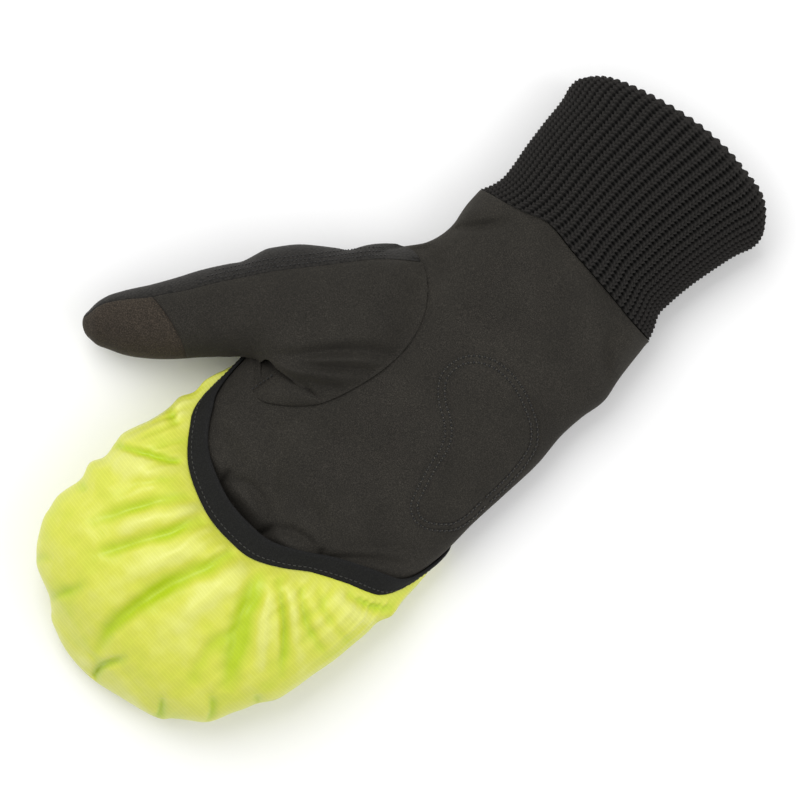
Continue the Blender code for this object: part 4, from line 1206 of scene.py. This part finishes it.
class MITTEN_OT_thumb(bpy.types.Operator):
    """Cuts the thumb's front, its fold, its back, the patch on its tip and the gusset"""

    bl_idname = "mitten.thumb"
    bl_label = "Thumb"

    def execute(self, context):
        s, c = sizes(), context.scene.mitten_colours
        cloth = once(brushed_softshell, "brushed_softshell", c.softshell, c.softshell_fleck)
        front = [self.front(s), self.fold(s)]
        front = wall(add_piece(s, "thumb_softshell", front, [cloth]), s.fabric_wall)
        patch_cloth = once(brushed_softshell, "brushed_touch_knit", c.patch, c.patch_fleck, 0.38)
        patch = wall(add_piece(s, "thumb_patch", [self.patch(s)], [patch_cloth]), s.fabric_wall)
        back_cloth = once(embossed_knit, "embossed_warp_knit", c.thumb_knit)
        back = wall(add_piece(s, "thumb_back_knit", [self.back(s)], [back_cloth]), s.fabric_wall)
        gusset = wall(add_piece(s, "gusset_softshell", [self.gusset(s)], [cloth]), s.fabric_wall * 0.6)
        settle(front, "softshell", "thumb_front")
        settle(patch, "touch_patch", "thumb_tip_patch")
        settle(back, "textured_knit", "thumb_back")
        settle(gusset, "softshell", "thumb_gusset")
        return {"FINISHED"}

    def patch_share(self, angle, start):
        """The patch's seam: a slanting curve over the thumb, from its inner to its outer edge."""
        inner, outer = PATCH_SHARES
        across = np.clip((1 - np.cos(angle)) / (1 - np.cos(start)), 0, 1)
        return inner + (outer - inner) * across**1.5

    def front(self, s):
        """The front from the ball of the thumb to the patch, its rows slanted by the patch's seam."""
        seam_along, _ = thumb_frame(s, *curve_through(BASE_SEAM, 500).T)
        lowest = (seam_along.min() + 0.02) / s.thumb_length
        u, v = parameters("thumb_front")
        u = u**1.3
        share = lowest + u * (PATCH_SHARES[0] - lowest) + 0 * v
        for _ in range(3):
            start, end = thumb_angles(s, share)
            angle = start + v * (end - start)
            slant = self.patch_share(angle, start) - PATCH_SHARES[0]
            share = lowest + u * (PATCH_SHARES[0] - lowest) + slant * ease((u - 0.72) / 0.28)
        points = thumb_surface(s, share, angle)
        seam = 0.45 * bell((1 - u) * 0.88 * s.thumb_length, 0.7)
        side = 0.5 * bell(v * 40, 0.9)
        points[..., 2] -= (seam + side) * (np.sin(angle) > 0)
        return shell(points, inside=(50, 140, 12))

    def patch(self, s):
        """The patch from its seam to the tip, closed there."""
        u, v = parameters("thumb_patch")
        u = 1 - (1 - u) ** 1.7
        last = THUMB_SECTIONS["along"][-1]
        share = PATCH_SHARES[0] + u * (last - PATCH_SHARES[0]) + 0 * v
        for _ in range(3):
            start, end = thumb_angles(s, share)
            angle = start + v * (end - start)
            first = self.patch_share(angle, start)
            share = first + u * (last - first)
        points = thumb_surface(s, share, angle)
        points[..., 2] -= 0.45 * bell(u * 30, 0.7) * (np.sin(angle) > 0)
        points = self.round_tip(s, points)
        return shell(points, inside=(80, 190, 10))

    def round_tip(self, s, points):
        """Adds rows that run on from the last one to the thumb's tip as an arc of an ellipse."""
        tip = thumb_place(s, *(np.array(value) for value in THUMB_TIP))
        forward = np.array([*s.thumb_forward, 0.0])
        gap = ((tip - points[-1]) @ forward)[:, None] * forward
        return np.concatenate([points, closing(points[-1], tip, gap, math.radians(42))])

    def back(self, s):
        """The back from the seam with the front, round the outer side and the underside, up to the
        hand. It starts as a point where its seam meets the thumb's base."""
        first = THUMB_SEAM["along"][1] + 0.002
        u, v = parameters("thumb_back")
        share = first + (THUMB_SECTIONS["along"][-1] - first) * (1 - (1 - u) ** 1.25)
        start, end = thumb_angles(s, share)
        left, right, _, _ = thumb_edges(s, share)
        along = share * s.thumb_length
        hand_side = (0.98 * s.palm_width * 0.480 - s.thumb_root[0]) / s.thumb_sideways[0]
        meets = hand_side - along * s.thumb_forward[0] / s.thumb_sideways[0]
        cosine = np.clip((2 * meets - left - right) / (right - left), -0.995, 1)
        under = 2 * np.pi - np.arccos(cosine)
        by_hand = np.minimum(under, 2 * np.pi + np.minimum(end, 0))
        stop = np.where(share < THUMB_INNER["along"][-1], by_hand, 2 * np.pi + end)
        seam = section_angle(s, share, base_across(s, along, False))
        stop = seam + (stop - seam) * ease((along + 17.5) / 5.0)
        angle = start + v * (stop - start)
        points = thumb_surface(s, share + 0 * v, angle)
        points[..., 2] = np.maximum(points[..., 2] - 0.5 * bell(v * 40, 0.9), 0.0)
        points = self.round_tip(s, points)
        return shell(points, inside=(75, 150, 16))

    def fold(self, s):
        """The slack of the front between the deep fold and the palm's seam: a ruled patch that tucks
        in under the fold and swells a little in its middle."""
        v, u = parameters("thumb_fold")
        near = curve_through(FOLD_LINE, u.size)
        seam = curve_through(BASE_SEAM, 400)
        far = curve_through(seam[seam[:, 1] > FOLD_LINE[0][1] - 0.6][::8], u.size)
        tucked = near + np.array([0.9, -2.6]) * np.sin((0.15 + 0.85 * u.T) * np.pi / 2)
        plan = tucked[None] + v[..., None] * (far - tucked)[None]
        x, y = plan[..., 0], plan[..., 1]
        bulge = 1.6 * np.sin(np.pi * v) ** 0.8 * np.sin(np.pi * u) ** 0.5
        z = palm_height(s, x, y) + GAP + bulge - 1.6 * (1 - ease(v / 0.3))
        z = z - 1.5 * ease((u - 0.75) / 0.25)
        return shell(np.stack([x, y, z], axis=-1))

    def gusset(self, s):
        """The gusset: a ruled patch from the palm's rim to the stitched line and the crotch, which
        falls away towards the crotch and sags. Past the crotch it drops as the web between the
        thumb and the hand, and under the thumb's lip it rises to the inside of the thumb."""
        rows, columns = GRIDS["gusset"]
        t = np.linspace(-0.06, 2.0, columns)[None, :, None]
        u = np.linspace(-0.10, 1.45, rows)[:, None, None]
        ends = [np.array(p, float) for p in (PALM_RIM[0], PALM_RIM[2], CROTCH[0], CROTCH[2])]
        rim = ends[0] + t * (ends[1] - ends[0])
        crotch = ends[2] + t * (ends[3] - ends[2])
        plan = rim + u * (crotch - rim)
        x, y = plan[..., 0], plan[..., 1]
        t, u = t[..., 0], u[..., 0]
        z = palm_height(s, np.minimum(x, 43.5), np.minimum(y, 182))
        fall = 0.6 + 1.6 * ease(u) + 1.4 * ease(t) + 0.9 * np.sin(np.pi * np.clip(u, 0, 1))
        fall = fall + 19.0 * np.clip((t - 0.95) / 1.05, 0, 1) ** 1.3
        z = np.maximum(z - fall, 3.0)
        along, across = thumb_frame(s, x, y)
        share = along / s.thumb_length
        lip = thumb_surface(s, share, section_angle(s, share, across))[..., 2] - 2.0
        z = z + np.maximum(lip - z, 0.0) * ease((u - 1.0) / 0.4)
        return shell(np.stack([x, y, z], axis=-1))


class MITTEN_OT_pad(bpy.types.Operator):
    """Lays the foam pad against the inside of the palm"""

    bl_idname = "mitten.pad"
    bl_label = "Pad"

    def execute(self, context):
        s, c = sizes(), context.scene.mitten_colours
        rows, columns = GRIDS["pad"]
        outline = curve_through(PAD_OUTLINE, columns, closed=True)
        middle = outline.mean(axis=0)
        share = np.sqrt(np.linspace(0.02, 1, rows))[:, None, None]
        plan = middle + (outline - middle)[None] * share * 0.95
        x, y = plan[..., 0], plan[..., 1]
        top = palm_height(s, np.maximum(x, -47.0), y) - s.fabric_wall - 0.6
        edge = 2.0 * (1 - share[..., 0] ** 6)
        upper = np.stack([x, y, top - 0.9 + edge / 2], axis=-1)
        lower = np.stack([x, y, top - 1.1 - edge / 2], axis=-1)
        points = np.concatenate([upper, lower[::-1]])
        poles = [(0, upper[0].mean(axis=0)), (len(points) - 1, lower[0].mean(axis=0))]
        foam = shell(points, round_columns=True, poles=poles, inside=(-26, 134, 25))
        pad = add_piece(s, "palm_foam", [foam], [once(open_foam, "open_cell_foam", c.foam)])
        settle(pad, "foam_pad", "palm_pad")
        return {"FINISHED"}


class MITTEN_OT_cover(bpy.types.Operator):
    """Sews the thin gathered cover and the elastic binding of its mouth"""

    bl_idname = "mitten.cover"
    bl_label = "Cover and binding"

    def execute(self, context):
        s, c = sizes(), context.scene.mitten_colours
        nylon = once(ripstop_nylon, "ripstop_nylon", c.cover_fold_shade, c.cover, c.cover_ridge_highlight)
        elastic = once(woven_elastic, "woven_elastic", c.binding, c.binding_fleck)
        pouch, depths = self.pouch(s)
        cover = add_piece(s, "cover_ripstop", [pouch], [nylon], hollow=depths)
        wall(cover, 0.45 * s.cover_wall)
        band = add_piece(s, "binding_elastic", [self.band(s)], [elastic])
        settle(cover, "cover_fabric", "mitten_cover")
        settle(band, "elastic_binding", "mouth_binding")
        return {"FINISHED"}

    def pouch(self, s):
        """The cover from its mouth to its closed tip, finer on its upper side, with how deep each
        point lies in the folds."""
        rows, above, below = GRIDS["cover"]
        upper = np.linspace(0, np.pi, above)
        lower = np.linspace(np.pi, 2 * np.pi, below)[1:-1]
        angle = np.concatenate([upper, lower])[None, :]
        last = s.foot + COVER_SECTIONS["along"][-1] * s.cover_length
        start = s.wrist + mouth_reach(angle) * s.hand_length
        part = (1 - (1 - np.linspace(0, 1, rows)) ** 1.4)[:, None] * (last - start) / (s.tip - start)
        points, depths = cover_points(s, part, angle + 0 * part)
        tip = np.array([COVER_TIP[0], s.tip, COVER_TIP[1]])
        gap = (s.tip - points[-1, :, 1:2]) * np.array([0.0, 1.0, 0.0])
        closed = closing(points[-1], tip, gap, math.radians(55))[:-1]
        depths = np.concatenate([depths.ravel(), np.zeros(closed.shape[0] * closed.shape[1] + 1)])
        points = np.concatenate([points, closed])
        pole = (len(points) - 1, tip)
        return shell(points, round_columns=True, poles=[pole], inside=(0, 230, 18)), depths

    def band(self, s):
        """The binding: a rounded strip, crowned a little, carried round the mouth."""
        along_mouth, round_strip = GRIDS["binding"]
        angle = (np.arange(along_mouth) * 2 * np.pi / along_mouth)[None, :]
        turn = np.arange(round_strip) * 2 * np.pi / round_strip
        flat = np.sign(np.cos(turn)) * np.abs(np.cos(turn)) ** 0.35
        high = np.sign(np.sin(turn)) * np.abs(np.sin(turn)) ** 0.8
        across = (0.5 + 0.5 * flat)[:, None]
        up = (0.5 + 0.5 * high)[:, None]
        outer = mouth_reach(angle)
        along = outer - (1 - across) * mouth_width(s, angle) / s.hand_length
        seam = 0.22 * bell(across - 0.74, 0.06) * (up > 0.5)
        crown = 0.35 * (1 - (2 * across - 1) ** 2) * (up - 0.5)
        pucker = 0.10 * np.sin(angle * 83) * bell(across - 0.74, 0.2)
        grow = GAP + s.binding_wall * up + crown - seam + pucker * (up > 0.5)
        points = lap_points(s, along, angle + 0 * along, grow)
        lifted = 0.8 * bell(across, 0.3) * ease(np.sin(angle) / 0.5)
        points[..., 2] = np.maximum(points[..., 2] + lifted, 0.0)
        strip = points.transpose(1, 0, 2)
        middles = np.repeat(strip.mean(axis=1), round_strip, axis=0)
        return shell(strip, round_rows=True, round_columns=True, inside=middles)


class MITTEN_OT_stitches(bpy.types.Operator):
    """Sews the visible stitches of the pad, the gusset, the thumb's seam and the binding"""

    bl_idname = "mitten.stitches"
    bl_label = "Stitches"

    def execute(self, context):
        s, c = sizes(), context.scene.mitten_colours
        thread = once(polyester_thread, "polyester_thread", c.thread)
        # Painted shade: the near-black thread of the pad's dots, the gusset and the thumb's rows stands
        # for the shade in the needle holes
        holes = once(polyester_thread, "needle_hole_shade", c.needle_hole_shade)
        outline = curve_through(PAD_OUTLINE, 300, closed=True)
        rows = []
        for off in PAD_ROWS:
            path, normals = self.on_palm(s, self.beside_outline(outline, off))
            rows.append(stitches(path, normals, s.stitch_length, s.thread, 0.50))
            # Thick near-black capsules between the stitches: painted shade of the needle holes
            rows.append(stitches(path, normals, s.stitch_length, s.thread * 1.9, 0.42, 0.5, -0.1))
        pad = add_piece(s, "pad_stitches", rows, [thread, holes], (0, 1, 0, 1))
        settle(pad, "softshell")
        seam = self.on_gusset(s)
        gusset = add_piece(s, "gusset_stitches", [stitches(*seam, FINE_PITCH, 0.6)], [holes])
        settle(gusset, "softshell")
        rows = []
        for off in THUMB_ROWS:
            path, normals = self.on_thumb(s, off)
            rows.append(stitches(path, normals, FINE_PITCH, s.thread * 1.1, 0.45, 0.3 * off, 0.0))
        thumb = add_piece(s, "thumb_stitches", rows, [holes])
        settle(thumb, "textured_knit")
        light = once(polyester_thread, "binding_thread", c.light_thread)
        row = stitches(*self.on_binding(s), s.stitch_length, s.thread * 0.8)
        binding = add_piece(s, "binding_stitches", [row], [light])
        settle(binding, "elastic_binding")
        return {"FINISHED"}

    def beside_outline(self, outline, off):
        """The outline pushed outwards by off and closed."""
        ahead = unit(np.roll(outline, -1, axis=0) - np.roll(outline, 1, axis=0))
        outward = np.stack([-ahead[:, 1], ahead[:, 0]], axis=-1)
        pushed = outline + outward * off
        return np.vstack([pushed, pushed[:1]])

    def on_palm(self, s, plan):
        """A path on the palm, with the palm's normals from its slopes over a millimetre."""
        x, y = plan.T
        z = palm_height(s, x, y)
        slope_x = palm_height(s, x + 0.5, y) - palm_height(s, x - 0.5, y)
        slope_y = palm_height(s, x, y + 0.5) - palm_height(s, x, y - 0.5)
        normals = np.stack([-slope_x, -slope_y, np.ones_like(x)], axis=-1)
        return np.stack([x, y, z], axis=-1), unit(normals)

    def on_gusset(self, s):
        """The stitched line between the thumb's slack and the gusset."""
        path, normals = self.on_palm(s, curve_through(GUSSET_SEAM, 40))
        path[:, 2] += GAP
        return path, normals

    def on_thumb(self, s, off):
        """A path on the back of the thumb beside its seam with the front, with the normals there."""
        share = np.linspace(-0.13, 0.60 - 0.02 * off, 200)
        across = smooth(THUMB_SEAM, "outer", share) * s.thumb_width - off
        angle = section_angle(s, share, across)
        path = thumb_surface(s, share, angle)
        ahead = thumb_surface(s, share + 0.01, angle) - path
        beside_it = thumb_surface(s, share, angle + 0.02) - path
        normals = np.cross(ahead, beside_it)
        return path, unit(normals * np.sign(normals[:, 2:3]))

    def on_binding(self, s):
        """A row on the upper part of the binding, near its outer edge."""
        angle = np.linspace(-0.25, np.pi + 0.3, 500)
        turned = np.mod(angle, 2 * np.pi)
        along = mouth_reach(turned) - 0.26 * mouth_width(s, turned) / s.hand_length
        grow = GAP + s.binding_wall - 0.05
        path = lap_points(s, along, turned, grow)
        return path, unit(lap_points(s, along, turned, grow + 1.0) - path)


class MITTEN_OT_studio(bpy.types.Operator):
    """Sets the floor, the soft lights and the camera over the mitten"""

    bl_idname = "mitten.studio"
    bl_label = "Studio"

    def execute(self, context):
        s = sizes()
        scene = context.scene
        floor_mesh = bpy.data.meshes.new("floor")
        corners = [(x * FLOOR_HALF, y * FLOOR_HALF, 0) for x, y in ((-1, -1), (1, -1), (1, 1), (-1, 1))]
        floor_mesh.from_pydata(corners, [], [(0, 1, 2, 3)])
        floor_mesh.materials.append(once(painted_board, "matt_painted_board"))
        floor = bpy.data.objects.new("floor", floor_mesh)
        floor.location.z = -0.0002
        scene.collection.objects.link(floor)
        right = Vector((*PICTURE_RIGHT, 0))
        up = Vector((*PICTURE_UP, 0))
        middle = Vector(to_row(s, np.array([*PICTURE_MIDDLE, FOCUS_HEIGHT])).tolist())
        camera = bpy.data.cameras.new("camera")
        camera.lens = LENS
        camera.sensor_width = SENSOR
        shot = bpy.data.objects.new("camera", camera)
        turned = Matrix((right, up, Vector((0, 0, 1)))).transposed().to_4x4()
        stands = middle + Vector((0, 0, PICTURE_WIDTH * MM * LENS / SENSOR))
        shot.matrix_world = Matrix.Translation(stands) @ turned
        scene.collection.objects.link(shot)
        scene.camera = shot
        self.light("key", middle, up * 0.55 - right * 0.35 + Vector((0, 0, 1.0)), KEY_WATTS)
        self.light("fill", middle, right * 0.8 - up * 0.3 + Vector((0, 0, 0.8)), FILL_WATTS)
        world = bpy.data.worlds.new("studio")
        world.use_nodes = True
        background = world.node_tree.nodes["Background"]
        background.inputs["Color"].default_value = (1, 1, 1, 1)
        background.inputs["Strength"].default_value = ROOM_LIGHT
        scene.world = world
        scene.view_settings.view_transform = "Standard"
        return {"FINISHED"}

    def light(self, name, middle, offset, power):
        """A square soft light that looks at the mitten's middle."""
        lamp = bpy.data.lights.new(name, "AREA")
        lamp.size = LAMP_SIZE
        lamp.energy = power
        stand = bpy.data.objects.new(name, lamp)
        placed = Matrix.Translation(middle + offset)
        stand.matrix_world = placed @ (-offset).to_track_quat("-Z", "Y").to_matrix().to_4x4()
        bpy.context.scene.collection.objects.link(stand)


OPERATORS = (
    MITTEN_OT_cuff,
    MITTEN_OT_hand,
    MITTEN_OT_thumb,
    MITTEN_OT_pad,
    MITTEN_OT_cover,
    MITTEN_OT_stitches,
    MITTEN_OT_studio,
)


class MITTEN_PT_panel(bpy.types.Panel):
    """The mitten's sizes, its colours and the steps that build it"""

    bl_label = "Cycling mitten"
    bl_idname = "MITTEN_PT_panel"
    bl_space_type = "VIEW_3D"
    bl_region_type = "UI"
    bl_category = "Mitten"

    def draw(self, context):
        for held in (context.scene.mitten_sizes, context.scene.mitten_colours):
            box = self.layout.box()
            for name in held.__annotations__:
                box.prop(held, name)
        for operator in OPERATORS:
            self.layout.operator(operator.bl_idname)


CLASSES = (MittenSizes, MittenColours, *OPERATORS, MITTEN_PT_panel)


def register():
    for made in CLASSES:
        bpy.utils.register_class(made)
    bpy.types.Scene.mitten_sizes = bpy.props.PointerProperty(type=MittenSizes)
    bpy.types.Scene.mitten_colours = bpy.props.PointerProperty(type=MittenColours)


def unregister():
    del bpy.types.Scene.mitten_colours
    del bpy.types.Scene.mitten_sizes
    for made in reversed(CLASSES):
        bpy.utils.unregister_class(made)


def main():
    register()
    for operator in OPERATORS:
        package, name = operator.bl_idname.split(".")
        getattr(getattr(bpy.ops, package), name)()


if __name__ == "__main__":
    main()
